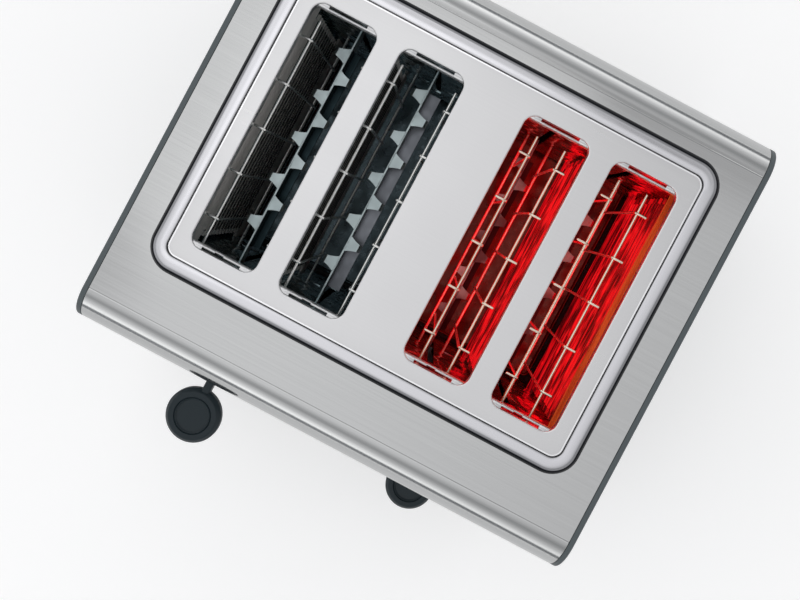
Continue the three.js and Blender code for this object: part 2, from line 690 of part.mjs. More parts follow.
// Bulkheads: the sheet walls in front of and behind the chambers
function bulkheadSheet(wallFrontY, flangeEndY) {
  const wallRearY = wallFrontY + BULKHEAD_WALL;
  const wall = block(
    -BULKHEAD_HALF_WIDTH,
    BULKHEAD_HALF_WIDTH,
    wallFrontY,
    wallRearY,
    COVER_BOTTOM_HEIGHT,
    CHAMBER_TOP_HEIGHT,
  );
  const flange = block(
    -BULKHEAD_HALF_WIDTH,
    BULKHEAD_HALF_WIDTH,
    Math.min(wallFrontY, flangeEndY),
    Math.max(wallRearY, flangeEndY),
    TAB_BOTTOM_HEIGHT,
    CHAMBER_TOP_HEIGHT,
  );
  return wall.add(flange);
}

// The cuts that a bulkhead needs: one slit for each rack, and slots that the guide wires slide in.
function bulkheadCuts(wallFrontY, withTopWires) {
  const from = wallFrontY - OVERRUN;
  const to = wallFrontY + BULKHEAD_WALL + OVERRUN;
  const cuts = [];
  for (const x of CHAMBER_PLACES) {
    cuts.push(
      block(
        x - RACK_WALL / 2 - RACK_SLIT_CLEARANCE,
        x + RACK_WALL / 2 + RACK_SLIT_CLEARANCE,
        from,
        to,
        LOWERED_RACK_HEIGHT - RACK_STRIP_HEIGHT - RACK_SLIT_CLEARANCE,
        RAISED_RACK_HEIGHT + RACK_SLIT_CLEARANCE,
      ),
    );
    for (const outward of [-1, 1]) {
      const reach = GUIDE_WIRE_RADIUS + GUIDE_WIRE_CLEARANCE;
      const closed = x + outward * (GUIDE_CLOSED_HALF_GAP - reach);
      const open = x + outward * (GUIDE_OPEN_HALF_GAP + reach);
      const low = Math.min(closed, open);
      const high = Math.max(closed, open);
      const footTop = GUIDE_FOOT_WIRE_HEIGHT + GUIDE_FOOT_WIRE_SPACING;
      cuts.push(block(low, high, from, to, GUIDE_FOOT_WIRE_HEIGHT - reach, footTop + reach));
      if (withTopWires) {
        cuts.push(block(low, high, from, to, GUIDE_TOP_HEIGHT - reach, GUIDE_TOP_HEIGHT + reach));
      }
    }
  }
  return cuts;
}

function makeBulkheads() {
  const frontWallY = CHAMBER_FRONT_Y - BULKHEAD_WALL;
  let front = bulkheadSheet(frontWallY, PLATE_FRONT_Y);
  for (const { side } of PAIRS) {
    for (const x of [ROD_X, SPRING_X]) {
      front = front.add(
        block(
          side * x - TAB_HALF_WIDTH,
          side * x + TAB_HALF_WIDTH,
          ROD_Y - TAB_FRONT_MARGIN,
          frontWallY,
          TAB_BOTTOM_HEIGHT,
          CHAMBER_TOP_HEIGHT,
        ),
      );
    }
    front = front.subtract(
      bar(
        [side * ROD_X, ROD_Y, TAB_BOTTOM_HEIGHT - OVERRUN],
        [side * ROD_X, ROD_Y, CHAMBER_TOP_HEIGHT + OVERRUN],
        ROD_RADIUS + ROD_CLEARANCE,
        SMALL_ROUND_STEPS,
      ),
    );
  }
  for (const cut of bulkheadCuts(frontWallY, true)) front = front.subtract(cut);
  place("front_bulkhead", front, sheetSteel);

  let rear = bulkheadSheet(CHAMBER_REAR_Y, PLATE_REAR_Y);
  for (const cut of bulkheadCuts(CHAMBER_REAR_Y, false)) rear = rear.subtract(cut);
  for (const { side } of PAIRS) {
    rear = rear.subtract(
      block(
        side * PAIR_X - TRAY_FACE_WIDTH / 2,
        side * PAIR_X + TRAY_FACE_WIDTH / 2,
        CHAMBER_REAR_Y - OVERRUN,
        CHAMBER_REAR_Y + BULKHEAD_WALL + OVERRUN,
        COVER_BOTTOM_HEIGHT - OVERRUN,
        TRAY_BOTTOM_HEIGHT + TRAY_TUNNEL_HEIGHT,
      ),
    );
  }
  place("rear_bulkhead", rear, sheetSteel);
}

// Heat shields: the sheets outside the outer elements, and the channel between the two pairs
function makeShields() {
  const frontY = CHAMBER_FRONT_Y + SEAT_GAP;
  const rearY = CHAMBER_REAR_Y - SEAT_GAP;
  const sideX = OUTER_ELEMENT_X + SIDE_SHIELD_SETBACK;
  const rimX = PLATE_WIDTH / 2 - PLATE_WALL;
  for (const { name, side } of PAIRS) {
    const inner = side * sideX;
    const outer = side * (sideX + SHIELD_WALL);
    const sheet = block(
      Math.min(inner, outer),
      Math.max(inner, outer),
      frontY,
      rearY,
      SHIELD_BOTTOM_HEIGHT,
      CHAMBER_TOP_HEIGHT,
    );
    const flange = block(
      Math.min(side * rimX, outer),
      Math.max(side * rimX, outer),
      frontY,
      rearY,
      CHAMBER_TOP_HEIGHT - SHIELD_WALL,
      CHAMBER_TOP_HEIGHT,
    );
    place(`${name}_side_shield`, sheet.add(flange), sheetSteel);
  }
  const halfWidth = INNER_ELEMENT_X - CENTRE_SHIELD_SETBACK;
  const outside = block(-halfWidth, halfWidth, frontY, rearY, SHIELD_BOTTOM_HEIGHT, CHAMBER_TOP_HEIGHT);
  const inside = block(
    -halfWidth + SHIELD_WALL,
    halfWidth - SHIELD_WALL,
    frontY - OVERRUN,
    rearY + OVERRUN,
    SHIELD_BOTTOM_HEIGHT - OVERRUN,
    CHAMBER_TOP_HEIGHT - SHIELD_WALL,
  );
  place("centre_shield", outside.subtract(inside), sheetSteel);
}

// Heating elements: mica boards with one flat ribbon wound round each
function elementBoard(x) {
  const frontY = CHAMBER_FRONT_Y + SEAT_GAP;
  const rearY = CHAMBER_REAR_Y - SEAT_GAP;
  const woundTop = RIBBON_BOTTOM_HEIGHT + RIBBON_TURNS * RIBBON_PITCH;
  const half = ELEMENT_BOARD_WALL / 2;
  const board = block(x - half, x + half, frontY, rearY, ELEMENT_BOTTOM_HEIGHT, ELEMENT_TOP_HEIGHT);
  const notchLow = RIBBON_BOTTOM_HEIGHT - RIBBON_PITCH / 2;
  const notchHigh = woundTop + RIBBON_PITCH / 2;
  const frontNotch = block(
    x - ELEMENT_BOARD_WALL,
    x + ELEMENT_BOARD_WALL,
    frontY - OVERRUN,
    frontY + ELEMENT_NOTCH_DEPTH,
    notchLow,
    notchHigh,
  );
  const rearNotch = block(
    x - ELEMENT_BOARD_WALL,
    x + ELEMENT_BOARD_WALL,
    rearY - ELEMENT_NOTCH_DEPTH,
    rearY + OVERRUN,
    notchLow,
    notchHigh,
  );
  return board.subtract(frontNotch).subtract(rearNotch);
}

// The ribbon: one unbroken flat strip that climbs by a quarter of its pitch at each corner of the board.
function elementRibbon(x) {
  const innerX = ELEMENT_BOARD_WALL / 2 - RIBBON_SINK;
  const outerX = innerX + RIBBON_THICKNESS;
  const innerY = (CHAMBER_REAR_Y - CHAMBER_FRONT_Y) / 2 - SEAT_GAP - ELEMENT_NOTCH_DEPTH - RIBBON_SINK;
  const outerY = innerY + RIBBON_THICKNESS;
  const corners = [
    [1, -1],
    [1, 1],
    [-1, 1],
    [-1, -1],
  ];
  const positions = [];
  const steps = RIBBON_TURNS * corners.length;
  for (let i = 0; i <= steps; i += 1) {
    const [sx, sy] = corners[i % corners.length];
    const z = RIBBON_BOTTOM_HEIGHT + (i / corners.length) * RIBBON_PITCH;
    const low = z - RIBBON_WIDTH / 2;
    const high = z + RIBBON_WIDTH / 2;
    positions.push(x + sx * innerX, SLOT_CENTRE_Y + sy * innerY, low);
    positions.push(x + sx * outerX, SLOT_CENTRE_Y + sy * outerY, low);
    positions.push(x + sx * outerX, SLOT_CENTRE_Y + sy * outerY, high);
    positions.push(x + sx * innerX, SLOT_CENTRE_Y + sy * innerY, high);
  }
  return solidOf(facetedGeometry(positions, tubeFaces(steps, corners.length)));
}

// Faces of a tube of rings, each ring with the same number of sides, closed at both ends.
function tubeFaces(steps, sides) {
  const faces = [];
  for (let i = 0; i < steps; i += 1) {
    for (let j = 0; j < sides; j += 1) {
      const beside = (j + 1) % sides;
      const a = i * sides + j;
      const b = i * sides + beside;
      faces.push(a, b + sides, b, a, a + sides, b + sides);
    }
  }
  for (let j = 1; j < sides - 1; j += 1) {
    faces.push(0, j, j + 1);
    faces.push(steps * sides, steps * sides + j + 1, steps * sides + j);
  }
  return faces;
}

function makeElements() {
  const rightPlaces = [INNER_ELEMENT_X, PAIR_X, OUTER_ELEMENT_X];
  const places = [...rightPlaces.map((x) => -x).reverse(), ...rightPlaces];
  places.forEach((x, i) => {
    const material = x > 0 ? glowingMica : mica;
    place(`heating_element_${i + 1}`, elementBoard(x).add(elementRibbon(x)), material);
  });
  const turnGap = RIBBON_PITCH - RIBBON_WIDTH;
  console.log("least gap between a ribbon's turns:", turnGap.toFixed(2), "mm");
}

// Guide grids: long wires, uprights welded to them and short bars on the tops of the uprights
function guideGrid(x, outward, halfGap) {
  const planeX = x + outward * halfGap;
  const uprightX = planeX - outward * GUIDE_UPRIGHT_SETBACK;
  const overhang = BULKHEAD_WALL + GUIDE_WIRE_OVERHANG;
  const wires = [
    bar(
      [planeX, CHAMBER_FRONT_Y - overhang, GUIDE_TOP_HEIGHT],
      [planeX, CHAMBER_REAR_Y - GUIDE_REAR_CLEARANCE, GUIDE_TOP_HEIGHT],
      GUIDE_WIRE_RADIUS,
      WIRE_SIDES,
    ),
  ];
  for (const rise of [0, GUIDE_FOOT_WIRE_SPACING]) {
    const z = GUIDE_FOOT_WIRE_HEIGHT + rise;
    wires.push(
      bar(
        [planeX, CHAMBER_FRONT_Y - overhang, z],
        [planeX, CHAMBER_REAR_Y + overhang, z],
        GUIDE_WIRE_RADIUS,
        WIRE_SIDES,
      ),
    );
  }
  const barHeight = GUIDE_TOP_HEIGHT + GUIDE_WIRE_RADIUS;
  const middleY = SLOT_CENTRE_Y + GUIDE_MIDDLE_OFFSET;
  for (let i = 0; i < GUIDE_UPRIGHT_COUNT; i += 1) {
    const y = middleY + (i - (GUIDE_UPRIGHT_COUNT - 1) / 2) * GUIDE_UPRIGHT_PITCH;
    wires.push(bentWire(uprightX, planeX + outward * GUIDE_BAR_REACH, y, barHeight));
  }
  return join(...wires);
}

// One upright of a guide grid: it stands at footX and its top is bent over sideways as far as barX.
function bentWire(footX, barX, y, barHeight) {
  const outward = Math.sign(barX - footX);
  const reach = GUIDE_WIRE_RADIUS;
  const low = GUIDE_FOOT_WIRE_HEIGHT - reach;
  const outline = [
    [footX - outward * reach, low],
    [footX + outward * reach, low],
    [footX + outward * reach, barHeight - reach],
    [barX, barHeight - reach],
    [barX, barHeight + reach],
    [footX - outward * reach, barHeight + reach],
  ];
  if (outward < 0) outline.reverse();
  return acrossY(polygon(outline), y - reach, y + reach);
}

// Bread racks: an upright strip with slats bent out to the left and the right in turn
function breadRack(x, top) {
  const half = RACK_WALL / 2;
  const bottom = top - RACK_STRIP_HEIGHT;
  const frontY = CHAMBER_FRONT_Y - BULKHEAD_WALL - RACK_ARM_LENGTH;
  const rearY = CHAMBER_REAR_Y + BULKHEAD_WALL + GUIDE_WIRE_OVERHANG;
  const strip = block(x - half, x + half, frontY, rearY, bottom, top);
  const uprightSpan = (GUIDE_UPRIGHT_COUNT - 1) * GUIDE_UPRIGHT_PITCH;
  const firstUpright = SLOT_CENTRE_Y + GUIDE_MIDDLE_OFFSET - uprightSpan / 2;
  const pieces = [strip];
  const fins = 2 * GUIDE_UPRIGHT_COUNT - 1;
  for (let i = 0; i < fins; i += 1) {
    const outward = i % 2 ? 1 : -1;
    const y = firstUpright + RACK_FIN_OFFSET + (i * GUIDE_UPRIGHT_PITCH) / 2;
    const points = [
      [x, y - RACK_FIN_ROOT / 2],
      [x + outward * RACK_FIN_LENGTH, y - RACK_FIN_TIP / 2],
      [x + outward * RACK_FIN_LENGTH, y + RACK_FIN_TIP / 2],
      [x, y + RACK_FIN_ROOT / 2],
    ];
    if (outward < 0) points.reverse();
    pieces.push(upright(polygon(points), top - RACK_WALL, top));
  }
  const ledgeFrontY = firstUpright - RACK_FIN_ROOT;
  const ledgeRearY = firstUpright + uprightSpan + RACK_FIN_ROOT;
  pieces.push(block(x, x + RACK_LEDGE_WIDTH, ledgeFrontY, ledgeRearY, bottom, bottom + RACK_WALL));
  return join(...pieces);
}

function makeRacksAndGuides() {
  let number = 1;
  for (const { side, drop, guideHalfGap } of PAIRS) {
    const places = CHAMBER_PLACES.filter((x) => Math.sign(x) === side);
    for (const x of places) {
      place(`bread_rack_${number}`, breadRack(x, RAISED_RACK_HEIGHT - drop), sheetSteel);
      place(`guide_grid_${number}_left`, guideGrid(x, -1, guideHalfGap), springSteel);
      place(`guide_grid_${number}_right`, guideGrid(x, 1, guideHalfGap), springSteel);
      number += 1;
    }
  }
}

// Lever knobs: round dished discs on a short neck that runs through the slot in the cover
function makeLeverKnob(name, side, drop) {
  const x = side * LEVER_X;
  const y = FRONT_Y - LEVER_REACH;
  const middle = LEVER_HEIGHT - drop;
  const low = middle - LEVER_THICKNESS / 2;
  const high = middle + LEVER_THICKNESS / 2;
  const profile = [
    [0, low],
    [LEVER_RADIUS - LEVER_CHAMFER, low],
    [LEVER_RADIUS, low + LEVER_CHAMFER],
    [LEVER_RADIUS, high - LEVER_CHAMFER],
    [LEVER_RADIUS - LEVER_CHAMFER, high],
    [LEVER_DISH_RADIUS, high],
    [LEVER_DISH_RADIUS - LEVER_DISH_DEPTH, high - LEVER_DISH_DEPTH],
    [0, high - LEVER_DISH_DEPTH],
  ];
  const neck = block(
    x - LEVER_NECK_WIDTH / 2,
    x + LEVER_NECK_WIDTH / 2,
    y + LEVER_DISH_RADIUS,
    NECK_END_Y,
    middle - LEVER_NECK_HEIGHT / 2,
    middle + LEVER_NECK_HEIGHT / 2,
  );
  const disc = turned(profile, x, y, KNOB_STEPS);
  place(`${name}_lever_knob`, disc.add(neck), darkPlastic);
}

// Lever carriages: a bent plate that slides on its rod, carries two racks and holds the knob's neck
function makeCarriage(name, side, drop) {
  const plateTop = RAISED_RACK_HEIGHT - drop - RACK_STRIP_HEIGHT;
  const plateBottom = plateTop - CARRIAGE_WALL;
  const lowX = PAIR_X - (OUTER_CHAMBER_X - INNER_CHAMBER_X) / 2 - CARRIAGE_SIDE_MARGIN;
  const highX = PAIR_X + (OUTER_CHAMBER_X - INNER_CHAMBER_X) / 2 + CARRIAGE_SIDE_MARGIN;
  const mirrored = (a, b) => [Math.min(side * a, side * b), Math.max(side * a, side * b)];
  const plate = block(
    ...mirrored(lowX, highX),
    CARRIAGE_FRONT_Y,
    CARRIAGE_REAR_Y,
    plateBottom,
    plateTop,
  );
  const pieces = [plate];
  const armEndY = CHAMBER_FRONT_Y - BULKHEAD_WALL - RACK_SLIT_CLEARANCE;
  for (const chamberX of [INNER_CHAMBER_X, OUTER_CHAMBER_X]) {
    const tabX = chamberX + RACK_WALL / 2 + SEAT_GAP;
    pieces.push(
      block(
        ...mirrored(tabX, tabX + CARRIAGE_WALL),
        CARRIAGE_REAR_Y - CARRIAGE_DEPTH / 2,
        armEndY,
        plateBottom,
        plateTop + RACK_STRIP_HEIGHT,
      ),
    );
  }
  const knobMiddle = LEVER_HEIGHT - drop;
  const armTop = knobMiddle + LEVER_NECK_HEIGHT / 2;
  const armX = [LEVER_X - CARRIAGE_ARM_WALL / 2, LEVER_X + CARRIAGE_ARM_WALL / 2];
  pieces.push(
    block(
      ...mirrored(...armX),
      CARRIAGE_FRONT_Y,
      CARRIAGE_FRONT_Y + CARRIAGE_DEPTH / 2,
      plateBottom,
      armTop,
    ),
  );
  pieces.push(
    block(
      ...mirrored(...armX),
      NECK_END_Y + SEAT_GAP,
      CARRIAGE_FRONT_Y + CARRIAGE_DEPTH / 2,
      knobMiddle - LEVER_NECK_HEIGHT / 2,
      armTop,
    ),
  );
  const bushTop = plateTop + CARRIAGE_BUSH_HEIGHT;
  pieces.push(
    bar(
      [side * ROD_X, ROD_Y, plateBottom],
      [side * ROD_X, ROD_Y, bushTop],
      CARRIAGE_BUSH_RADIUS,
      ROUND_STEPS,
    ),
  );
  pieces.push(
    block(
      ...mirrored(SPRING_X - MAGNET_WIDTH / 2, SPRING_X + MAGNET_WIDTH / 2),
      ROD_Y - MAGNET_WIDTH / 2,
      ROD_Y + MAGNET_WIDTH / 2,
      plateBottom - ARMATURE_THICKNESS,
      plateBottom,
    ),
  );
  const rodHole = bar(
    [side * ROD_X, ROD_Y, plateBottom - OVERRUN],
    [side * ROD_X, ROD_Y, bushTop + OVERRUN],
    ROD_RADIUS + ROD_CLEARANCE,
    SMALL_ROUND_STEPS,
  );
  place(`${name}_lever_carriage`, join(...pieces).subtract(rodHole), sheetSteel);
}

// Guide rods stand on the base, and their tops sit in the bulkhead's tabs
function makeRod(name, side) {
  const rod = bar(
    [side * ROD_X, ROD_Y, BASE_TOP_HEIGHT + SEAT_GAP],
    [side * ROD_X, ROD_Y, CHAMBER_TOP_HEIGHT],
    ROD_RADIUS,
    SMALL_ROUND_STEPS,
  );
  place(`${name}_guide_rod`, rod, springSteel);
}

// Return springs: one helix each, from the carriage up to the bulkhead's tab
function makeSpring(name, side, drop) {
  const plateTop = RAISED_RACK_HEIGHT - drop - RACK_STRIP_HEIGHT;
  const margin = SEAT_GAP + SPRING_WIRE_RADIUS;
  const low = plateTop + margin;
  const high = TAB_BOTTOM_HEIGHT - margin;
  const steps = SPRING_TURNS * SPRING_STEPS;
  const positions = [];
  const rise = (high - low) / (2 * Math.PI * SPRING_TURNS);
  for (let i = 0; i <= steps; i += 1) {
    const angle = (i / SPRING_STEPS) * 2 * Math.PI;
    const radial = new THREE.Vector3(Math.cos(angle), Math.sin(angle), 0);
    const along = new THREE.Vector3(-Math.sin(angle), Math.cos(angle), rise / SPRING_COIL_RADIUS);
    const tangent = along.normalize();
    const normal = new THREE.Vector3().crossVectors(tangent, radial);
    const centre = radial.clone().multiplyScalar(SPRING_COIL_RADIUS);
    centre.add(new THREE.Vector3(side * SPRING_X, ROD_Y, low + rise * angle));
    for (let j = 0; j < SPRING_SIDES; j += 1) {
      const turn = (j / SPRING_SIDES) * 2 * Math.PI;
      const point = centre
        .clone()
        .addScaledVector(radial, SPRING_WIRE_RADIUS * Math.cos(turn))
        .addScaledVector(normal, -SPRING_WIRE_RADIUS * Math.sin(turn));
      positions.push(point.x, point.y, point.z);
    }
  }
  const geometry = facetedGeometry(positions, tubeFaces(steps, SPRING_SIDES));
  place(`${name}_return_spring`, solidOf(geometry), springSteel);
  const gap = (high - low) / SPRING_TURNS - 2 * SPRING_WIRE_RADIUS;
  console.log(`least gap between the ${name} spring's turns:`, gap.toFixed(2), "mm");
}

// Holding magnets: they stand on the base and hold the lowered carriage by its armature
function makeMagnet(name, side) {
  const loweredPlate = LOWERED_RACK_HEIGHT - RACK_STRIP_HEIGHT - CARRIAGE_WALL;
  const top = loweredPlate - ARMATURE_THICKNESS - SEAT_GAP;
  const half = MAGNET_WIDTH / 2;
  const x = side * SPRING_X;
  const yoke = block(x - half, x + half, ROD_Y - half, ROD_Y + half, top - MAGNET_HEIGHT, top);
  const stem = block(
    x - half / 2,
    x + half / 2,
    ROD_Y - half / 2,
    ROD_Y + half / 2,
    BASE_TOP_HEIGHT + SEAT_GAP,
    top - MAGNET_HEIGHT + SEAT_GAP,
  );
  place(`${name}_holding_magnet`, yoke.add(stem), copperCoil);
}

function buttonHeights() {
  const heights = [];
  for (let i = 0; i < BUTTON_COUNT; i += 1) {
    heights.push(PANEL_CENTRE_HEIGHT + (i - (BUTTON_COUNT - 1) / 2) * BUTTON_PITCH);
  }
  return heights;
}

// Control panels: moulded plates set in the cover's windows, with holes for the dial and the buttons
function makePanel(name, side) {
  const x = side * LEVER_X;
  const faceBackY = FRONT_Y + COVER_WALL + SEAT_GAP;
  const flangeBackY = faceBackY + PANEL_FLANGE_WALL;
  const face = acrossY(
    roundedRectangle(x, PANEL_CENTRE_HEIGHT, PANEL_WIDTH, PANEL_HEIGHT, PANEL_CORNER_RADIUS),
    PANEL_FACE_Y,
    flangeBackY,
  );
  const flange = acrossY(
    roundedRectangle(
      x,
      PANEL_CENTRE_HEIGHT,
      PANEL_WIDTH + 2 * PANEL_FLANGE_WIDTH,
      PANEL_HEIGHT + 2 * PANEL_FLANGE_WIDTH,
      PANEL_CORNER_RADIUS + PANEL_FLANGE_WIDTH,
    ),
    faceBackY,
    flangeBackY,
  );
  let panel = face.add(flange);
  for (const across of [-1, 1]) {
    panel = panel.add(
      bar(
        [x + across * (BOARD_WIDTH / 2 - PANEL_BOSS_RADIUS), faceBackY, PANEL_CENTRE_HEIGHT],
        [
          x + across * (BOARD_WIDTH / 2 - PANEL_BOSS_RADIUS),
          BOARD_FRONT_Y - SEAT_GAP,
          PANEL_CENTRE_HEIGHT,
        ],
        PANEL_BOSS_RADIUS,
        SMALL_ROUND_STEPS,
      ),
    );
  }
  const holeFrom = PANEL_FACE_Y - OVERRUN;
  const holeTo = flangeBackY + OVERRUN;
  panel = panel.subtract(
    bar(
      [x + DIAL_OFFSET, holeFrom, PANEL_CENTRE_HEIGHT],
      [x + DIAL_OFFSET, holeTo, PANEL_CENTRE_HEIGHT],
      DIAL_STEM_RADIUS + BUTTON_CLEARANCE,
      SMALL_ROUND_STEPS,
    ),
  );
  for (const z of buttonHeights()) {
    const hole = roundedRectangle(
      x + BUTTON_OFFSET,
      z,
      BUTTON_WIDTH + 2 * BUTTON_CLEARANCE,
      BUTTON_HEIGHT + 2 * BUTTON_CLEARANCE,
      BUTTON_CORNER_RADIUS + BUTTON_CLEARANCE,
    );
    panel = panel.subtract(acrossY(hole, holeFrom, holeTo, SMALL_CORNER_STEPS));
  }
  place(`${name}_control_panel`, panel, blackPlastic);
}

// Browning dials: a skirt, a cap and a grip bar, on a stem that turns in the sensor on the board
function makeDial(name, side) {
  const x = side * LEVER_X + DIAL_OFFSET;
  const backY = PANEL_FACE_Y - DIAL_GAP;
  const frontY = backY - DIAL_DEPTH;
  const stemEndY = BOARD_FRONT_Y - SENSOR_DEPTH + SWITCH_DEPTH;
  const profile = [
    [0, frontY],
    [DIAL_CAP_RADIUS - LEVER_CHAMFER, frontY],
    [DIAL_CAP_RADIUS, frontY + LEVER_CHAMFER],
    [DIAL_CAP_RADIUS, backY - DIAL_SKIRT_DEPTH],
    [DIAL_RADIUS, backY - DIAL_SKIRT_DEPTH / 2],
    [DIAL_RADIUS, backY],
    [DIAL_STEM_RADIUS, backY],
    [DIAL_STEM_RADIUS, stemEndY],
    [0, stemEndY],
  ];
  const grip = block(
    x - DIAL_GRIP_WIDTH / 2,
    x + DIAL_GRIP_WIDTH / 2,
    frontY - DIAL_GRIP_HEIGHT,
    frontY + OVERRUN,
    PANEL_CENTRE_HEIGHT - DIAL_CAP_RADIUS + LEVER_CHAMFER,
    PANEL_CENTRE_HEIGHT + DIAL_CAP_RADIUS - LEVER_CHAMFER,
  );
  const body = turnedAlongY(profile, x, PANEL_CENTRE_HEIGHT);
  place(`${name}_browning_dial`, body.add(grip), darkPlastic);
}

// Buttons: caps with rounded ends, each with a stem towards its switch
function makeButtons(name, side) {
  const x = side * LEVER_X + BUTTON_OFFSET;
  const frontY = PANEL_FACE_Y - BUTTON_PROUD;
  const backY = frontY + BUTTON_DEPTH;
  const stemEndY = BOARD_FRONT_Y - SWITCH_DEPTH - BUTTON_TRAVEL - SEAT_GAP;
  buttonHeights().forEach((z, i) => {
    const cap = acrossY(
      roundedRectangle(x, z, BUTTON_WIDTH, BUTTON_HEIGHT, BUTTON_CORNER_RADIUS),
      frontY,
      backY,
      SMALL_CORNER_STEPS,
    );
    const stem = bar(
      [x, backY - BUTTON_TRAVEL, z],
      [x, stemEndY, z],
      BUTTON_STEM_RADIUS,
      SMALL_ROUND_STEPS,
    );
    place(`${name}_button_${i + 1}`, cap.add(stem), darkPlastic);
  });
}

// Circuit boards: they stand behind the panels and carry the dial's sensor and the switches
function makeBoard(name, side) {
  const x = side * LEVER_X;
  const backY = BOARD_FRONT_Y + BOARD_WALL;
  const board = block(
    x - BOARD_WIDTH / 2,
    x + BOARD_WIDTH / 2,
    BOARD_FRONT_Y,
    backY,
    BASE_TOP_HEIGHT + SEAT_GAP,
    BOARD_TOP_HEIGHT,
  );
  const sensorFrontY = BOARD_FRONT_Y - SENSOR_DEPTH;
  const sensor = bar(
    [x + DIAL_OFFSET, sensorFrontY, PANEL_CENTRE_HEIGHT],
    [x + DIAL_OFFSET, BOARD_FRONT_Y + BOARD_WALL / 2, PANEL_CENTRE_HEIGHT],
    SENSOR_RADIUS,
    ROUND_STEPS,
  );
  const socket = bar(
    [x + DIAL_OFFSET, sensorFrontY - OVERRUN, PANEL_CENTRE_HEIGHT],
    [x + DIAL_OFFSET, sensorFrontY + SWITCH_DEPTH + SEAT_GAP, PANEL_CENTRE_HEIGHT],
    DIAL_STEM_RADIUS + ROD_CLEARANCE,
    SMALL_ROUND_STEPS,
  );
  let whole = board.add(sensor.subtract(socket));
  for (const z of buttonHeights()) {
    whole = whole.add(
      block(
        x + BUTTON_OFFSET - BUTTON_HEIGHT / 2,
        x + BUTTON_OFFSET + BUTTON_HEIGHT / 2,
        BOARD_FRONT_Y - SWITCH_DEPTH,
        BOARD_FRONT_Y + BOARD_WALL / 2,
        z - BUTTON_HEIGHT / 2,
        z + BUTTON_HEIGHT / 2,
      ),
    );
  }
  place(`${name}_control_board`, whole, greenBoard);
}

// Crumb trays: shallow trays under the chambers that slide out of the back by their face plates
function makeTray(name, side) {
  const x = side * PAIR_X;
  const frontY = CHAMBER_FRONT_Y + TRAY_FRONT_CLEARANCE;
  const faceFrontY = REAR_Y + TRAY_FACE_PROUD - TRAY_FACE_WALL;
  const half = TRAY_WIDTH / 2;
  const outside = block(
    x - half,
    x + half,
    frontY,
    faceFrontY + TRAY_WALL,
    TRAY_BOTTOM_HEIGHT,
    TRAY_BOTTOM_HEIGHT + TRAY_RIM_HEIGHT,
  );
  const inside = block(
    x - half + TRAY_WALL,
    x + half - TRAY_WALL,
    frontY + TRAY_WALL,
    faceFrontY,
    TRAY_BOTTOM_HEIGHT + TRAY_WALL,
    TRAY_BOTTOM_HEIGHT + TRAY_RIM_HEIGHT + OVERRUN,
  );
  const face = block(
    x - TRAY_FACE_WIDTH / 2,
    x + TRAY_FACE_WIDTH / 2,
    faceFrontY,
    REAR_Y + TRAY_FACE_PROUD,
    TRAY_BOTTOM_HEIGHT,
    TRAY_BOTTOM_HEIGHT + TRAY_FACE_HEIGHT,
  );
  place(`${name}_crumb_tray`, outside.subtract(inside).add(face), sheetSteel);
}

// Cord gland: the bush in the back wall that the mains cord comes through
function makeGland() {
  const wallFrontY = REAR_Y - COVER_WALL - SEAT_GAP;
  const innerFlangeY = wallFrontY - GLAND_PROUD;
  const profile = [
    [GLAND_BORE_RADIUS, innerFlangeY],
    [GLAND_FLANGE_RADIUS, innerFlangeY],
    [GLAND_FLANGE_RADIUS, wallFrontY],
    [GLAND_NECK_RADIUS, wallFrontY],
    [GLAND_NECK_RADIUS, REAR_Y + SEAT_GAP],
    [GLAND_FLANGE_RADIUS, REAR_Y + SEAT_GAP],
    [GLAND_NECK_RADIUS, REAR_Y + GLAND_PROUD],
    [GLAND_BORE_RADIUS, REAR_Y + GLAND_PROUD],
    [GLAND_BORE_RADIUS, innerFlangeY],
  ];
  place("cord_gland", turnedAlongY(profile, GLAND_X, GLAND_HEIGHT), blackRubber);
}

makeCover();
makeEndCap("left_end_cap", -1);
makeEndCap("right_end_cap", 1);
makeBase();
makeSlotPlate();
makeBead();
makeBulkheads();
makeShields();
makeElements();
makeRacksAndGuides();
for (const { name, side, drop } of PAIRS) {
  makeLeverKnob(name, side, drop);
  makeCarriage(name, side, drop);
  makeRod(name, side);
  makeSpring(name, side, drop);
  makeMagnet(name, side);
  makePanel(name, side);
  makeDial(name, side);
  makeButtons(name, side);
  makeBoard(name, side);
  makeTray(name, side);
}
makeGland();

export default toaster;
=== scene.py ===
import math

import bmesh
import bpy
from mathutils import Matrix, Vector


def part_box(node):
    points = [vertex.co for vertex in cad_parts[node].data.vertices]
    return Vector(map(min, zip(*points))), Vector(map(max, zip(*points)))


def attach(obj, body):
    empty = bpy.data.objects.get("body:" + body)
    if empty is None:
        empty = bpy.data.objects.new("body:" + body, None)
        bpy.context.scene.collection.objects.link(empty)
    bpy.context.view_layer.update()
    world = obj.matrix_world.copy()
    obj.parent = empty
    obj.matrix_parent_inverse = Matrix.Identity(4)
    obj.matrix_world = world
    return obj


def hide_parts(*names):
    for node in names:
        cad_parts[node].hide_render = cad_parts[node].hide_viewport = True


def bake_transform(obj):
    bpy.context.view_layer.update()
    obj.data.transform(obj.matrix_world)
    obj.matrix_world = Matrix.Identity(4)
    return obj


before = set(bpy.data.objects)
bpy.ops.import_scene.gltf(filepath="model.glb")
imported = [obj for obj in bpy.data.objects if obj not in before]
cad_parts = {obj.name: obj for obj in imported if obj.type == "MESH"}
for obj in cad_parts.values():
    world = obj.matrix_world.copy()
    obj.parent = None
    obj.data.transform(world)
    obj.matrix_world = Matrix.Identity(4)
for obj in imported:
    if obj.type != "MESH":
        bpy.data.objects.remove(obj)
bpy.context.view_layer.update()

# Camera: it hangs 450 mm over the slot plate and looks straight down, turned by 28 degrees to the toaster.
# The picture is a cut from beside the middle of the lens's field, so it is shifted from the lens's axis.
MM = 0.001
PICTURE_WIDTH = 800
PICTURE_HEIGHT = 600
AXIS_PIXEL_X = 437
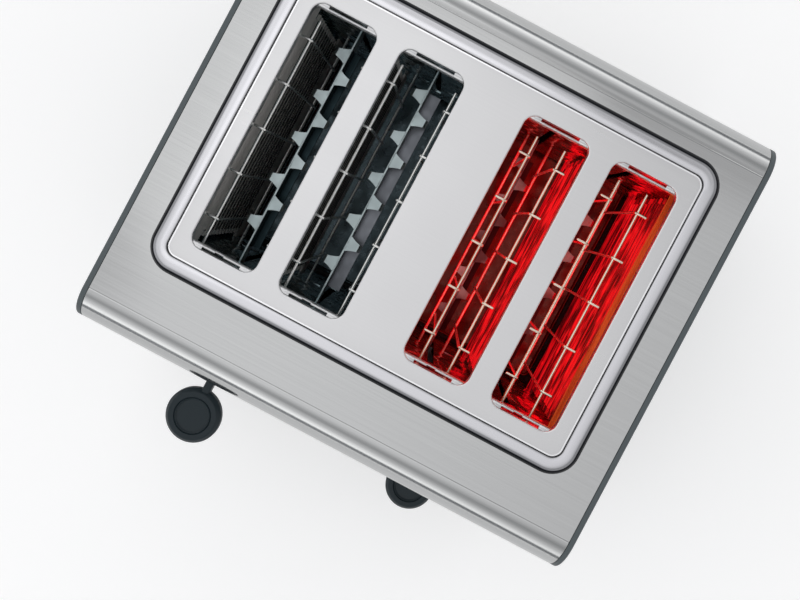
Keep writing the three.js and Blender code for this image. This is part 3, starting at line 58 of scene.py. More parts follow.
AXIS_PIXEL_Y = 212
CAMERA_TURN = math.radians(28)
CAMERA_PLACE = Vector((0, 29.4, 640))
camera = bpy.data.objects.new("photo_camera", bpy.data.cameras.new("photo_camera"))
camera.data.sensor_width = 36
camera.data.lens = 40
camera.data.shift_x = (PICTURE_WIDTH / 2 - AXIS_PIXEL_X) / PICTURE_WIDTH
camera.data.shift_y = (AXIS_PIXEL_Y - PICTURE_HEIGHT / 2) / PICTURE_WIDTH
camera.data.clip_start = 0.02
camera.location = CAMERA_PLACE * MM
camera.rotation_euler = (0, 0, CAMERA_TURN)
scene = bpy.context.scene
scene.collection.objects.link(camera)
scene.camera = camera
scene.view_settings.view_transform = "Standard"


# Studio: a table with grey cloths around it, a band of white cloth above them, which fades upwards, and a
# pale ceiling with a grey card over the rear and one over the left. A soft box hangs overhead on the left.
# The white band draws the bright lines along the folds, and the cards dull the cover's margins.
def linear(hex_colour):
    """An sRGB hex colour as linear red, green, blue and alpha."""
    channels = [int(hex_colour[i : i + 2], 16) / 255 for i in (1, 3, 5)]
    return [c / 12.92 if c <= 0.04045 else ((c + 0.055) / 1.055) ** 2.4 for c in channels] + [1]


# A mix of colours takes its factor and two colours at these sockets, and gives the result at the last.
FACTOR, COLOUR_A, COLOUR_B, MIXED = 0, 6, 7, 2
COLOURS = {"data_type": "RGBA"}
MULTIPLIED = {"data_type": "RGBA", "blend_type": "MULTIPLY"}


def node(tree, kind, inputs=None, to=None, **settings):
    """Adds a shader node with its settings. An input is a value, a hex colour, or a node or socket that
    is linked to it. The socket called to, where one is given, takes the node's result."""
    made = tree.nodes.new("ShaderNode" + kind)
    for name, value in settings.items():
        setattr(made, name, value)
    for name, value in (inputs or {}).items():
        if isinstance(value, bpy.types.Node):
            value = value.outputs[MIXED if value.bl_idname == "ShaderNodeMix" else 0]
        if isinstance(value, bpy.types.NodeSocket):
            tree.links.new(value, made.inputs[name])
        else:
            made.inputs[name].default_value = linear(value) if isinstance(value, str) else value
    if to is not None:
        tree.links.new(made.outputs[MIXED if kind == "Mix" else 0], to)
    return made


# The grey of the room's walls at heights from the horizon, 0, to straight up, 1.
HEIGHT_STOPS = ((0.22, "#66686B"), (0.28, "#FFFFFF"), (0.5, "#C6C6C7"), (0.76, "#858687"), (0.93, "#C2C2C3"))
# The room's brightness, the rear card, the left card, and the height where both hang: an axis, two
# places along it, and the level at each of them.
REACHES = (
    ("X", -0.08, 0.4, 1.86, 1.4),
    ("Y", 0.15, 0.21, 1, 0.5),
    ("X", -0.28, -0.22, 0.72, 1),
    ("Z", 0.88, 0.94, 0, 1),
)
# Under this height, mirrors see the white of the paper and not the room.
TABLE_LINE = 0.04
world = bpy.data.worlds.new("studio_room")
world.use_nodes = True
scene.world = world
room = world.node_tree
axes = node(room, "SeparateXYZ", {0: node(room, "TexCoord").outputs["Generated"]}).outputs
ramp = node(room, "ValToRGB", {0: axes["Z"]})
while len(ramp.color_ramp.elements) < len(HEIGHT_STOPS):
    ramp.color_ramp.elements.new(1)
for stop, (place, colour) in zip(ramp.color_ramp.elements, HEIGHT_STOPS):
    stop.position = place
    stop.color = linear(colour)
levels = []
for axis, start, end, first, last in REACHES:
    reach = {"Value": axes[axis], "From Min": start, "From Max": end, "To Min": first, "To Max": last}
    levels.append(node(room, "MapRange", reach))
brightness, rear_card, left_card, overhead = levels
cards = node(room, "Math", {0: rear_card, 1: left_card}, operation="MULTIPLY")
hung = node(room, "Mix", {FACTOR: overhead, COLOUR_A: "#FFFFFF", COLOUR_B: cards}, **COLOURS)
ceiling = node(room, "Mix", {FACTOR: 1, COLOUR_A: ramp, COLOUR_B: hung}, **MULTIPLIED)
walls = node(room, "Mix", {FACTOR: 1, COLOUR_A: ceiling, COLOUR_B: brightness}, **MULTIPLIED)
ray = node(room, "LightPath").outputs
low_down = node(room, "Math", {0: axes["Z"], 1: TABLE_LINE}, operation="LESS_THAN")
in_mirrors = node(room, "Math", {0: ray["Is Glossy Ray"], 1: low_down}, operation="MULTIPLY")
direct = node(room, "Math", {0: ray["Is Camera Ray"], 1: ray["Is Transmission Ray"]}, operation="MAXIMUM")
white = node(room, "Math", {0: direct, 1: in_mirrors}, operation="MAXIMUM")
shown = room.nodes["Background"].inputs["Color"]
node(room, "Mix", {FACTOR: white, COLOUR_A: walls, COLOUR_B: "#FFFFFF"}, shown, **COLOURS)
BOX_PLACE = Vector((-560, 460, 1500))
BOX_TARGET = Vector((-100, 60, 190))
BOX_WIDTH = 1200
BOX_LENGTH = 1300
BOX_RADIANCE = 0.3
lamp = bpy.data.lights.new("overhead_box", "AREA")
lamp.shape = "RECTANGLE"
lamp.size = BOX_WIDTH * MM
lamp.size_y = BOX_LENGTH * MM
lamp.energy = BOX_RADIANCE * math.pi * lamp.size * lamp.size_y
soft_box = bpy.data.objects.new("overhead_box", lamp)
soft_box.location = BOX_PLACE * MM
soft_box.rotation_euler = (BOX_TARGET - BOX_PLACE).to_track_quat("-Z", "Y").to_euler()
scene.collection.objects.link(soft_box)


# Floor: a sheet of white studio paper. To the camera and in reflections it also glows a little, so that
# it reads as white, and the shadow under the toaster stays.
def start_material(name, colour, **values):
    """A named material, whose even values are set on its shader's own sockets. Gives it with its tree,
    the shader's inputs, and the place on the object, which patterns follow."""
    material = bpy.data.materials.new(name)
    material.use_nodes = True
    tree = material.node_tree
    inputs = tree.nodes["Principled BSDF"].inputs
    inputs["Base Color"].default_value = linear(colour)
    for socket, value in values.items():
        inputs[socket.replace("_", " ")].default_value = value
    return material, tree, inputs, node(tree, "TexCoord").outputs["Object"]


FLOOR_SIZE = 9000
PAPER_GLOW = 0.28
GLOW_IN_MIRRORS = 0.4
floor_mesh = bmesh.new()
bmesh.ops.create_grid(floor_mesh, x_segments=1, y_segments=1, size=FLOOR_SIZE * MM / 2)
floor = bpy.data.objects.new("studio_floor", bpy.data.meshes.new("studio_floor"))
floor_mesh.to_mesh(floor.data)
scene.collection.objects.link(floor)
# Matt cartridge paper: it spreads all light evenly.
paper, tree, inputs, _ = start_material("white_paper", "#F2F2F2", Roughness=0.9)
ray = node(tree, "LightPath").outputs
in_mirrors = node(tree, "Math", {0: ray["Is Glossy Ray"], 1: GLOW_IN_MIRRORS}, operation="MULTIPLY")
direct = node(tree, "Math", {0: ray["Is Camera Ray"], 1: in_mirrors}, operation="MAXIMUM")
seen = node(tree, "Math", {0: direct, 1: ray["Is Transmission Ray"]}, operation="MAXIMUM")
node(tree, "Math", {0: seen, 1: PAPER_GLOW}, inputs["Emission Strength"], operation="MULTIPLY")
inputs["Emission Color"].default_value = linear("#FFFFFF")
floor.data.materials.append(paper)


# Outer cover: one sheet of stainless steel, 1.2 mm thick, brushed along its width and folded over the
# front, the top and the back. It is punched with windows for the slot plate, levers, panels and trays,
# and with a hole for the cord gland.
def box_mm(name):
    """A frame node's lowest corner, highest corner and middle in mm."""
    low, high = (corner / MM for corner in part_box(name))
    return low, high, (low + high) / 2


def verts_of(found):
    """The corners among the parts that an operator gives back."""
    return [part for part in found if isinstance(part, bmesh.types.BMVert)]


def draw_on(bm, row, step):
    """Extrudes a row of edges by one step and gives the new row."""
    found = bmesh.ops.extrude_edge_only(bm, edges=row)["geom"]
    moved = verts_of(found)
    bmesh.ops.translate(bm, vec=step, verts=moved)
    kept = set(moved)
    return [e for e in found if isinstance(e, bmesh.types.BMEdge) and kept.issuperset(e.verts)]


def turn_on(bm, row, centre, axis, angle, steps):
    """Spins a row of edges round an axis and gives the last row."""
    verts = list({v for e in row for v in e.verts})
    found = bmesh.ops.spin(bm, geom=verts + row, cent=centre, axis=axis, angle=angle, steps=steps)
    return [e for e in found["geom_last"] if isinstance(e, bmesh.types.BMEdge)]


def round_off(bm, edges, radius, segments, clamp=False):
    """Rounds edges to a radius and gives the new corners."""
    return bmesh.ops.bevel(
        bm,
        geom=edges,
        offset=radius,
        offset_type="OFFSET",
        segments=segments,
        profile=0.5,
        affect="EDGES",
        clamp_overlap=clamp,
        material=-1,
    )["verts"]


def rounded_block(bm, low, high, radius=0, along="z", steps=6):
    """Adds a block between two corners, its four edges along one axis rounded. Gives its corners."""
    low, high = Vector(low), Vector(high)
    verts = bmesh.ops.create_cube(bm, size=1)["verts"]
    bmesh.ops.scale(bm, vec=high - low, verts=verts)
    bmesh.ops.translate(bm, vec=(low + high) / 2, verts=verts)
    if radius:
        axis = "xyz".index(along)
        edges = {e for v in verts for e in v.link_edges}
        along_axis = [e for e in edges if abs(e.verts[0].co[axis] - e.verts[1].co[axis]) > 1e-6]
        made = round_off(bm, along_axis, radius, steps)
        verts = list({v for v in verts if v.is_valid} | set(made))
    return verts


def upright_block(bm, low, high, front_y, back_y, radius, grow=0, steps=6):
    """Adds a block with rounded corners, seen from the front as large as a box and grown on each side."""
    low = (low.x - grow, front_y, low.z - grow)
    return rounded_block(bm, low, (high.x + grow, back_y, high.z + grow), radius, "y", steps)


def soften(bm, width, segments, least_angle, edges=None):
    """Rounds the edges of a mesh that are sharper than an angle in degrees by a small width."""
    limit = math.radians(least_angle)
    chosen = [e for e in (edges or bm.edges) if e.is_manifold and e.calc_face_angle() > limit]
    round_off(bm, chosen, width, segments, True)


def to_object(bm, name):
    """Makes an object at the origin from a mesh drawn in mm."""
    bmesh.ops.scale(bm, vec=(MM, MM, MM), verts=bm.verts)
    piece = bpy.data.objects.new(name, bpy.data.meshes.new(name))
    bm.to_mesh(piece.data)
    bm.free()
    scene.collection.objects.link(piece)
    return piece


def give_wall(piece, thickness):
    """Thickens a sheet inwards."""
    wall = piece.modifiers.new("wall", "SOLIDIFY")
    wall.thickness = thickness * MM
    wall.offset = -1


def take_mesh(helper, *spent):
    """Gives a helper object's finished mesh in mm. The helper and what served it are removed."""
    bpy.context.view_layer.update()
    result = bmesh.new()
    result.from_object(helper, bpy.context.evaluated_depsgraph_get())
    bmesh.ops.scale(result, vec=(1 / MM, 1 / MM, 1 / MM), verts=result.verts)
    for used in (helper, *spent):
        mesh = used.data
        bpy.data.objects.remove(used)
        bpy.data.meshes.remove(mesh)
    return result


def cut_away(bm, cutter):
    """Cuts one mesh from another and gives the result as a new mesh in mm."""
    body = to_object(bm, "body_to_cut")
    tool = to_object(cutter, "cutting_tool")
    cut = body.modifiers.new("cut", "BOOLEAN")
    cut.operation = "DIFFERENCE"
    cut.solver = "EXACT"
    cut.object = tool
    return take_mesh(body, tool)


CREASE = math.radians(35)


def add_piece(name, bm, material, body, stands_for=(), wall=0, even=True):
    """Puts a finished mesh in the scene, on its body, in place of the nodes that it stands for."""
    piece = to_object(bm, name)
    piece.data.materials.append(material)
    piece.data.shade_smooth()
    piece.data.set_sharp_from_angle(angle=CREASE)
    if wall:
        give_wall(piece, wall)
    if even:
        piece.modifiers.new("even_shading", "WEIGHTED_NORMAL").keep_sharp = True
    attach(piece, body)
    if stands_for:
        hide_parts(*stands_for)


def per_mm(*spacings):
    """The scale of a pattern that repeats at a distance in mm, or a scale for each axis."""
    scales = [1 / (spacing * MM) for spacing in spacings]
    return scales if len(scales) > 1 else scales[0]


def grain_finish(tree, inputs, place, grain, roughness, cloud_size, strength, depth):
    """Roughness that follows a grain and broad clouds of wear, and a bump that follows the grain. Gives
    the clouds."""
    clouds = node(tree, "TexNoise", {"Vector": place, "Scale": per_mm(cloud_size), "Detail": 2})
    wear = node(tree, "Math", {0: grain, 1: clouds}, operation="ADD")
    least, most = roughness
    spread = {"Value": wear, "From Min": 0.6, "From Max": 1.4, "To Min": least, "To Max": most}
    node(tree, "MapRange", spread, inputs["Roughness"])
    node(tree, "Bump", {"Strength": strength, "Distance": depth * MM, "Height": grain}, inputs["Normal"])
    return clouds


def brushed_steel(name, colours, streak, roughness):
    """Stainless steel, brushed with an abrasive belt: it mirrors softly and spreads light across the
    scratches. Real scratches are 0.1 mm apart, and are drawn wider, as far as the render can show."""
    material, tree, inputs, place = start_material(name, colours[0], Metallic=1, Anisotropic=0.4)
    stretched = node(tree, "Mapping", {"Vector": place, "Scale": per_mm(*streak)})
    scratches = node(tree, "TexNoise", {"Vector": stretched, "Scale": 1, "Detail": 4})
    tones = {FACTOR: scratches, COLOUR_A: colours[0], COLOUR_B: colours[1]}
    node(tree, "Mix", tones, inputs["Base Color"], **COLOURS)
    grain_finish(tree, inputs, place, scratches, roughness, cloud_size=60, strength=0.1, depth=0.02)
    node(tree, "Tangent", to=inputs["Tangent"], direction_type="RADIAL", axis="X")
    return material


cover_steel = brushed_steel("brushed_stainless", ("#BABBBB", "#C8C9C9"), (90, 0.9, 0.9), (0.1, 0.17))
COVER_WALL = 1.2
COVER_FOLD = 18
COVER_EDGE = 0.25
FOLD_STEPS = 24
FOLD_LINE_WIDTH = 0.7
FOLD_LINE_DEPTH = 0.3
OPENING_MARGIN = 3
OVERRUN = 4
LEVER_SLOT_WIDTH = 7
LEVER_SLOT_MARGIN = 1.2
LEVER_TRAVEL = 75
PANEL_RIM = 3
WINDOW_GAP = 0.3
WINDOW_CORNER = 6.3
PLATE_CORNER = 6
TRAY_GAP = 0.4
TRAY_CORNER = 1.5
GLAND_HOLE = 6.5
# A round end is drawn with a radius this much under half its width, so that its edges keep a length.
HAIR = 0.01
cover_low, cover_high, _ = box_mm("outer_cover")
plate_low, plate_high, _ = box_mm("slot_plate")
fold_z = cover_high.z - COVER_FOLD
rise = fold_z - cover_low.z
fold_line = ((0, FOLD_LINE_WIDTH / 2, -FOLD_LINE_DEPTH), (0, FOLD_LINE_WIDTH / 2, FOLD_LINE_DEPTH))
flat_top = (0, cover_high.y - cover_low.y - 2 * COVER_FOLD - 2 * FOLD_LINE_WIDTH, 0)
bm = bmesh.new()
ends = [bm.verts.new((x, cover_low.y, cover_low.z)) for x in (cover_low.x, cover_high.x)]
row = draw_on(bm, [bm.edges.new(ends)], (0, 0, rise))
row = turn_on(bm, row, (0, cover_low.y + COVER_FOLD, fold_z), (1, 0, 0), -math.pi / 2, FOLD_STEPS)
for step in (*fold_line, flat_top, *fold_line):
    row = draw_on(bm, row, step)
row = turn_on(bm, row, (0, cover_high.y - COVER_FOLD, fold_z), (1, 0, 0), -math.pi / 2, FOLD_STEPS)
draw_on(bm, row, (0, 0, -rise))
bmesh.ops.remove_doubles(bm, verts=bm.verts, dist=0.001)
bmesh.ops.recalc_face_normals(bm, faces=bm.faces)
shell = to_object(bm, "cover_shell")
give_wall(shell, COVER_WALL)
bm = take_mesh(shell)
holes = bmesh.new()
margin = Vector((OPENING_MARGIN, OPENING_MARGIN, OVERRUN))
rounded_block(holes, plate_low - margin, plate_high + margin, PLATE_CORNER + OPENING_MARGIN)
front = (cover_low.y - OVERRUN, cover_low.y + COVER_WALL + OVERRUN)
back = (cover_high.y - COVER_WALL - OVERRUN, cover_high.y + OVERRUN)
half = LEVER_SLOT_WIDTH / 2
for side in ("left", "right"):
    knob = box_mm(f"{side}_lever_knob")[2]
    top_z = knob.z + (LEVER_TRAVEL if side == "right" else 0)
    slot_low = Vector((knob.x, 0, top_z - LEVER_TRAVEL - LEVER_SLOT_MARGIN))
    slot_high = Vector((knob.x, 0, top_z + LEVER_SLOT_MARGIN))
    upright_block(holes, slot_low, slot_high, *front, half - HAIR, half)
    low, high, _ = box_mm(f"{side}_control_panel")
    upright_block(holes, low, high, *front, WINDOW_CORNER, WINDOW_GAP - PANEL_RIM)
    low, high, _ = box_mm(f"{side}_crumb_tray")
    low = (low.x - TRAY_GAP, back[0], cover_low.z - OVERRUN)
    rounded_block(holes, low, (high.x + TRAY_GAP, back[1], high.z + TRAY_GAP), TRAY_CORNER, "y", 3)
gland = box_mm("cord_gland")[2]
upright_block(holes, gland, gland, *back, GLAND_HOLE - HAIR, GLAND_HOLE)
bm = cut_away(bm, holes)
soften(bm, COVER_EDGE, 2, 50)
add_piece("brushed_cover", bm, cover_steel, "housing", ["outer_cover"])


# End caps: moulded polypropylene, dark grey, one on each side. The outer face has a shallow sunk field
# and rounded edges, and a rim on the inside locates the cover.
def moulded_plastic(name, colours, grain, roughness, **values):
    """Moulded plastic with a fine spark-eroded grain: soft, even reflections that break up a little,
    and a slight change of tone where the mould was worn."""
    material, tree, inputs, place = start_material(name, colours[0], Coat_Roughness=0.3, **values)
    pits = node(tree, "TexNoise", {"Vector": place, "Scale": per_mm(grain), "Detail": 3})
    clouds = grain_finish(tree, inputs, place, pits, roughness, cloud_size=45, strength=0.35, depth=0.06)
    tones = {FACTOR: clouds, COLOUR_A: colours[0], COLOUR_B: colours[1]}
    node(tree, "Mix", tones, inputs["Base Color"], **COLOURS)
    return material


def draw_margin(bm, faces, width, depth=0):
    """Draws a margin inside faces, and sinks what it surrounds by a depth."""
    bmesh.ops.inset_region(bm, faces=faces, thickness=width, depth=-depth, use_even_offset=True)


def draw_out(bm, faces, along_x):
    """Draws faces out along X and gives them in their new place."""
    grown = bmesh.ops.extrude_face_region(bm, geom=faces)["geom"]
    bmesh.ops.translate(bm, vec=(along_x, 0, 0), verts=verts_of(grown))
    bmesh.ops.delete(bm, geom=faces, context="FACES_ONLY")
    return [f for f in grown if isinstance(f, bmesh.types.BMFace)]


cap_plastic = moulded_plastic("grained_polypropylene", ("#4A5255", "#555D60"), 0.7, (0.42, 0.6))
CAP_WALL = 3
CAP_EDGE = 0.9
CAP_FIELD_INSET = 12
CAP_FIELD_SLOPE = 1.65
CAP_FIELD_DEPTH = 1.1
CAP_RIM_SETBACK = 1.6
CAP_RIM_LIFT = 0.2
CAP_RIM_WALL = 2
for name, side in (("left", -1), ("right", 1)):
    low, high, _ = box_mm(f"{name}_end_cap")
    outer = high.x if side > 0 else low.x
    inner = outer - side * CAP_WALL
    rim_run = high.x - low.x - CAP_WALL
    bm = bmesh.new()
    rounded_block(bm, (min(inner, outer), low.y, low.z), (max(inner, outer), high.y, high.z))
    top_edges = [e for e in bm.edges if all(v.co.z > high.z - 1 for v in e.verts)]
    across = [e for e in top_edges if abs(e.verts[0].co.x - e.verts[1].co.x) > 1]
    round_off(bm, across, COVER_FOLD, FOLD_STEPS)
    bmesh.ops.recalc_face_normals(bm, faces=bm.faces)
    face = max(bm.faces, key=lambda f: f.calc_center_median().x * side)
    draw_margin(bm, [face], CAP_FIELD_INSET)
    draw_margin(bm, [face], CAP_FIELD_SLOPE, CAP_FIELD_DEPTH)
    inside = min(bm.faces, key=lambda f: f.calc_center_median().x * side)
    draw_margin(bm, [inside], CAP_RIM_SETBACK)
    for vert in inside.verts:
        vert.co.z = max(vert.co.z, cover_low.z + CAP_RIM_LIFT)
    lid = draw_out(bm, [inside], -side * rim_run)
    draw_margin(bm, lid, CAP_RIM_WALL)
    draw_out(bm, lid, side * rim_run)
    outer_edges = [e for e in bm.edges if all(v.co.x * side > outer * side - 0.1 for v in e.verts)]
    soften(bm, CAP_EDGE, 3, 60, outer_edges)
    add_piece(f"{name}_side_cap", bm, cap_plastic, "housing", [f"{name}_end_cap"])


# Slot plate: a pressed lid of satin stainless steel. Its rim and the edges of the four bread slots are
# drawn down over a radius. At each end of a slot a lip curls into it, with a slit between lip and edge.
plate_steel = brushed_steel("satin_stainless", ("#D8D8D9", "#DFDFE0"), (70, 1.1, 1.1), (0.26, 0.38))
PLATE_WALL = 0.9
PLATE_RIM_LIFT = 1
PLATE_EDGE_RADIUS = 0.5
SLOT_EDGE_RADIUS = 0.8
SLOT_LENGTH = 140
SLOT_WIDTH = 36.4
SLOT_CORNER = 6.5
SLOT_FRONT_MARGIN = 9.6
SLOT_PLACES = (-86, -35.9, 35.9, 86)
slot_front = plate_low.y + SLOT_FRONT_MARGIN
slot_rear = slot_front + SLOT_LENGTH
bm = bmesh.new()
rounded_block(bm, plate_low, plate_high, PLATE_CORNER, "z", 10)
holes = bmesh.new()
for x in SLOT_PLACES:
    low = (x - SLOT_WIDTH / 2, slot_front, plate_low.z - OVERRUN)
    high = (x + SLOT_WIDTH / 2, slot_rear, plate_high.z + OVERRUN)
    rounded_block(holes, low, high, SLOT_CORNER, "z", 10)
bm = cut_away(bm, holes)
below = [f for f in bm.faces if f.normal.z < -0.9]
bmesh.ops.delete(bm, geom=below, context="FACES_ONLY")
loose = [e for e in bm.edges if not e.link_faces]
bmesh.ops.delete(bm, geom=loose, context="EDGES")


def rim_distance(vert):
    """How far a corner of the slot plate's mesh lies inside the plate's outline."""
    x, y, _ = vert.co
    return min(x - plate_low.x, plate_high.x - x, y - plate_low.y, plate_high.y - y)


rim = {v for v in bm.verts if rim_distance(v) < PLATE_CORNER}
for vert in rim:
    if vert.co.z < plate_low.z + 0.1:
        vert.co.z += PLATE_RIM_LIFT
rim_edges = [e for e in bm.edges if rim.issuperset(e.verts)]
slot_edges = [e for e in bm.edges if rim.isdisjoint(e.verts)]
soften(bm, SLOT_EDGE_RADIUS, 4, 70, slot_edges)
soften(bm, PLATE_EDGE_RADIUS, 5, 70, [e for e in rim_edges if e.is_valid])
LIP_RADIUS = 3.1
LIP_STEPS = 6
LIP_END = math.radians(80)
LIP_SPLIT = math.radians(33)
LIP_HOLE = math.radians(52)
# The stretches of a lip: from one share of the slot's width to another, and the angle each starts at.
LIP_STRETCHES = (
    (-0.47, -0.3, 0),
    (-0.3, -0.11, LIP_SPLIT),
    (-0.11, 0.03, LIP_HOLE),
    (0.03, 0.3, LIP_SPLIT),
    (0.3, 0.47, 0),
)
for x in SLOT_PLACES:
    for end_y, inward in ((slot_front, 1), (slot_rear, -1)):
        centre = Vector((x, end_y, plate_high.z - SLOT_EDGE_RADIUS - LIP_RADIUS))
        for left, right, begin in LIP_STRETCHES:
            if inward < 0:
                begin = min(begin, LIP_SPLIT)
            y = end_y + inward * LIP_RADIUS * math.sin(begin)
            z = centre.z + LIP_RADIUS * math.cos(begin)
            ends = [bm.verts.new((x + share * SLOT_WIDTH, y, z)) for share in (left, right)]
            turn_on(bm, [bm.edges.new(ends)], centre, (1, 0, 0), -inward * (LIP_END - begin), LIP_STEPS)
bmesh.ops.recalc_face_normals(bm, faces=bm.faces)
add_piece("pressed_slot_plate", bm, plate_steel, "housing", ["slot_plate"], PLATE_WALL)


# Bead: a ring of polished stainless steel around the slot plate. It has a steep inner side, a nearly flat
# crown and a round shoulder. Towards the shoulder's foot its colour darkens: a painted shade and dark
# reflection.
def sweep_round(bm, profile, low, high, radius, steps):
    """Sweeps a closed profile of (reach, height) points round a rectangle with round corners."""
    points = [bm.verts.new((low.x + radius, low.y - reach, height)) for reach, height in profile]
    row = [bm.edges.new(pair) for pair in zip(points, points[1:] + points[:1])]
    long_x = high.x - low.x - 2 * radius
    long_y = high.y - low.y - 2 * radius
    corners = (
        ((long_x, 0, 0), (high.x - radius, low.y + radius, 0)),
        ((0, long_y, 0), (high.x - radius, high.y - radius, 0)),
        ((-long_x, 0, 0), (low.x + radius, high.y - radius, 0)),
        ((0, -long_y, 0), (low.x + radius, low.y + radius, 0)),
    )
    for run, centre in corners:
        row = draw_on(bm, row, run)
        row = turn_on(bm, row, centre, (0, 0, 1), math.pi / 2, steps)
    bmesh.ops.remove_doubles(bm, verts=bm.verts, dist=0.005)
    bmesh.ops.recalc_face_normals(bm, faces=bm.faces)


BEAD_GAP = 0.12
BEAD_INNER_RADIUS = 0.25
BEAD_INNER_DROP = 0.13
BEAD_REACH = 9
BEAD_FOOT_DROP = 0.4
# The crown and the shoulder: from one reach to another, and the tilt in degrees at each.
BEAD_STRETCHES = ((0.35, 5.2, -6, 6), (5.2, 8.8, 6, 60))
BEAD_STEPS = 8
BEAD_CORNER_STEPS = 12
# Heights under the bead's top where its painted shade begins and where it is full.
BEAD_PAINTED_SHADE_START = 0.05
BEAD_PAINTED_SHADE_FULL = 0.62
bead_low, bead_high, _ = box_mm("plate_bead")
# Wheel-polished stainless steel: nearly a mirror, with a haze in patches.
bead_steel, tree, inputs, place = start_material("polished_stainless", "#D8D8DC", Metallic=1)
haze = node(tree, "TexNoise", {"Vector": place, "Scale": per_mm(9), "Detail": 5})
node(tree, "MapRange", {"Value": haze, "To Min": 0.1, "To Max": 0.22}, inputs["Roughness"])
height = node(tree, "SeparateXYZ", {0: place}).outputs["Z"]
shade_start_z = (bead_high.z - BEAD_PAINTED_SHADE_START) * MM
shade_full_z = (bead_high.z - BEAD_PAINTED_SHADE_FULL) * MM
# Towards the shoulder's foot the bead's colour fades to near black: a painted shade and dark reflection.
foot = node(tree, "MapRange", {"Value": height, "From Min": shade_start_z, "From Max": shade_full_z})
node(tree, "Mix", {FACTOR: foot, COLOUR_A: "#D8D8DC", COLOUR_B: "#1C1E22"}, inputs["Base Color"], **COLOURS)
rise = bead_high.z - BEAD_INNER_DROP
profile = [(BEAD_GAP, bead_low.z), (BEAD_GAP, bead_high.z - BEAD_INNER_RADIUS), (BEAD_STRETCHES[0][0], rise)]
for start, end, start_tilt, end_tilt in BEAD_STRETCHES:
    width = (end - start) / BEAD_STEPS
    for i in range(BEAD_STEPS):
        tilt = start_tilt + (end_tilt - start_tilt) * (i + 0.5) / BEAD_STEPS
        rise -= width * math.tan(math.radians(tilt))
        profile.append((start + (i + 1) * width, rise))
profile += [(BEAD_REACH, rise - BEAD_FOOT_DROP), (BEAD_REACH, bead_low.z)]
bm = bmesh.new()
sweep_round(bm, profile, plate_low, plate_high, PLATE_CORNER, BEAD_CORNER_STEPS)
add_piece("polished_bead", bm, bead_steel, "housing", ["plate_bead"])


# Plate edge: a thin lip at the outermost millimetre of the slot plate, in a much brighter steel than the
# plate, the brightest metal on the toaster and slightly uneven. The brightness is a painted highlight,
# which shows as a light line all the way round.
# The near-white colour of this edge is a painted highlight.
edge_highlight_steel, tree, inputs, place = start_material("painted_highlight_edge", "#FAFAFC", Metallic=1)
haze = node(tree, "TexNoise", {"Vector": place, "Scale": per_mm(7), "Detail": 3})
node(tree, "MapRange", {"Value": haze, "To Min": 0.16, "To Max": 0.26}, inputs["Roughness"])
EDGE_LIFT = 0.08
# The edge's section: how far out each point lies, and how far under its top.
EDGE_SECTION = ((-1, 0.6), (-1, 0.04), (-0.5, 0), (-0.1, 0.03), (0, 0.16), (0, 0.6))
profile = [(reach, plate_high.z + EDGE_LIFT - drop) for reach, drop in EDGE_SECTION]
bm = bmesh.new()
sweep_round(bm, profile, plate_low, plate_high, PLATE_CORNER, BEAD_CORNER_STEPS)
add_piece("plate_edge_highlight", bm, edge_highlight_steel, "housing", ["slot_plate"])


# Base and feet: a black moulded base plate with rows of cooling louvres, on four rubber feet that each
# have a sunk screw.
base_plastic = moulded_plastic("black_moulded_abs", ("#1B1E20", "#24282A"), 0.6, (0.4, 0.6))
rubber = moulded_plastic("black_rubber", ("#141516", "#1E1F20"), 1.2, (0.75, 0.9))
BASE_CORNER = 2
BASE_EDGE = 0.4
LOUVRE_PLACES = (-70, 0, 70)
LOUVRE_LENGTH = 52
LOUVRE_WIDTH = 3
LOUVRE_PITCH = 8
LOUVRE_DEPTH = 1.5
LOUVRE_COUNT = 9
low, high, middle = box_mm("base_plate")
bm = bmesh.new()
rounded_block(bm, low, high, BASE_CORNER)
grooves = bmesh.new()
half = LOUVRE_WIDTH / 2
for x in LOUVRE_PLACES:
    for i in range(LOUVRE_COUNT):
        y = middle.y + (i - (LOUVRE_COUNT - 1) / 2) * LOUVRE_PITCH
        groove_low = (x - LOUVRE_LENGTH / 2, y - half, low.z - OVERRUN)
        groove_high = (x + LOUVRE_LENGTH / 2, y + half, low.z + LOUVRE_DEPTH)
        rounded_block(grooves, groove_low, groove_high, half - HAIR, "z", 4)
bm = cut_away(bm, grooves)
soften(bm, BASE_EDGE, 2, 60)
add_piece("moulded_base", bm, base_plastic, "housing", ["base_plate"])


def arc_corners(corners, steps=5):
    """A chain of points from (across, up, radius) corners, each corner with a radius turned to an arc."""
    points = []
    for i, (across, up, radius) in enumerate(corners):
        here = Vector((across, up))
        if radius == 0 or i in (0, len(corners) - 1):
            points.append(here)
            continue
        before = (Vector(corners[i - 1][:2]) - here).normalized()
        after = (Vector(corners[i + 1][:2]) - here).normalized()
        half = before.angle(after) / 2
        setback = radius / math.tan(half)
        middle = here + (before + after).normalized() * radius / math.sin(half)
        start = here + before * setback - middle
        end = here + after * setback - middle
        turn = start.angle_signed(end)
        for step in range(steps + 1):
            angle = -turn * step / steps
            cos, sin = math.cos(angle), math.sin(angle)
            points.append(middle + Vector((start.x * cos - start.y * sin, start.x * sin + start.y * cos)))
    return points


def turned(bm, corners, centre, along, sides):
    """Adds a turned shape: an outline, from axis to axis or closed, is spun round an axis through a
    centre."""
    centre = Vector(centre)
    chain = []
    for across, up in arc_corners(corners):
        offset = (across, 0, up) if along == "z" else (across, up, 0)
        chain.append(bm.verts.new(centre + Vector(offset)))
    edges = [bm.edges.new(pair) for pair in zip(chain, chain[1:])]
    axis = (0, 0, 1) if along == "z" else (0, 1, 0)
    known = set(bm.faces)
    bmesh.ops.spin(
        bm,
        geom=chain + edges,
        cent=centre,
        axis=axis,
        angle=2 * math.pi,
        steps=sides,
        use_merge=True,
    )
    verts = list({v for f in bm.faces if f not in known for v in f.verts})
    bmesh.ops.remove_doubles(bm, verts=verts, dist=0.002)
    bmesh.ops.recalc_face_normals(bm, faces=[f for f in bm.faces if f not in known])


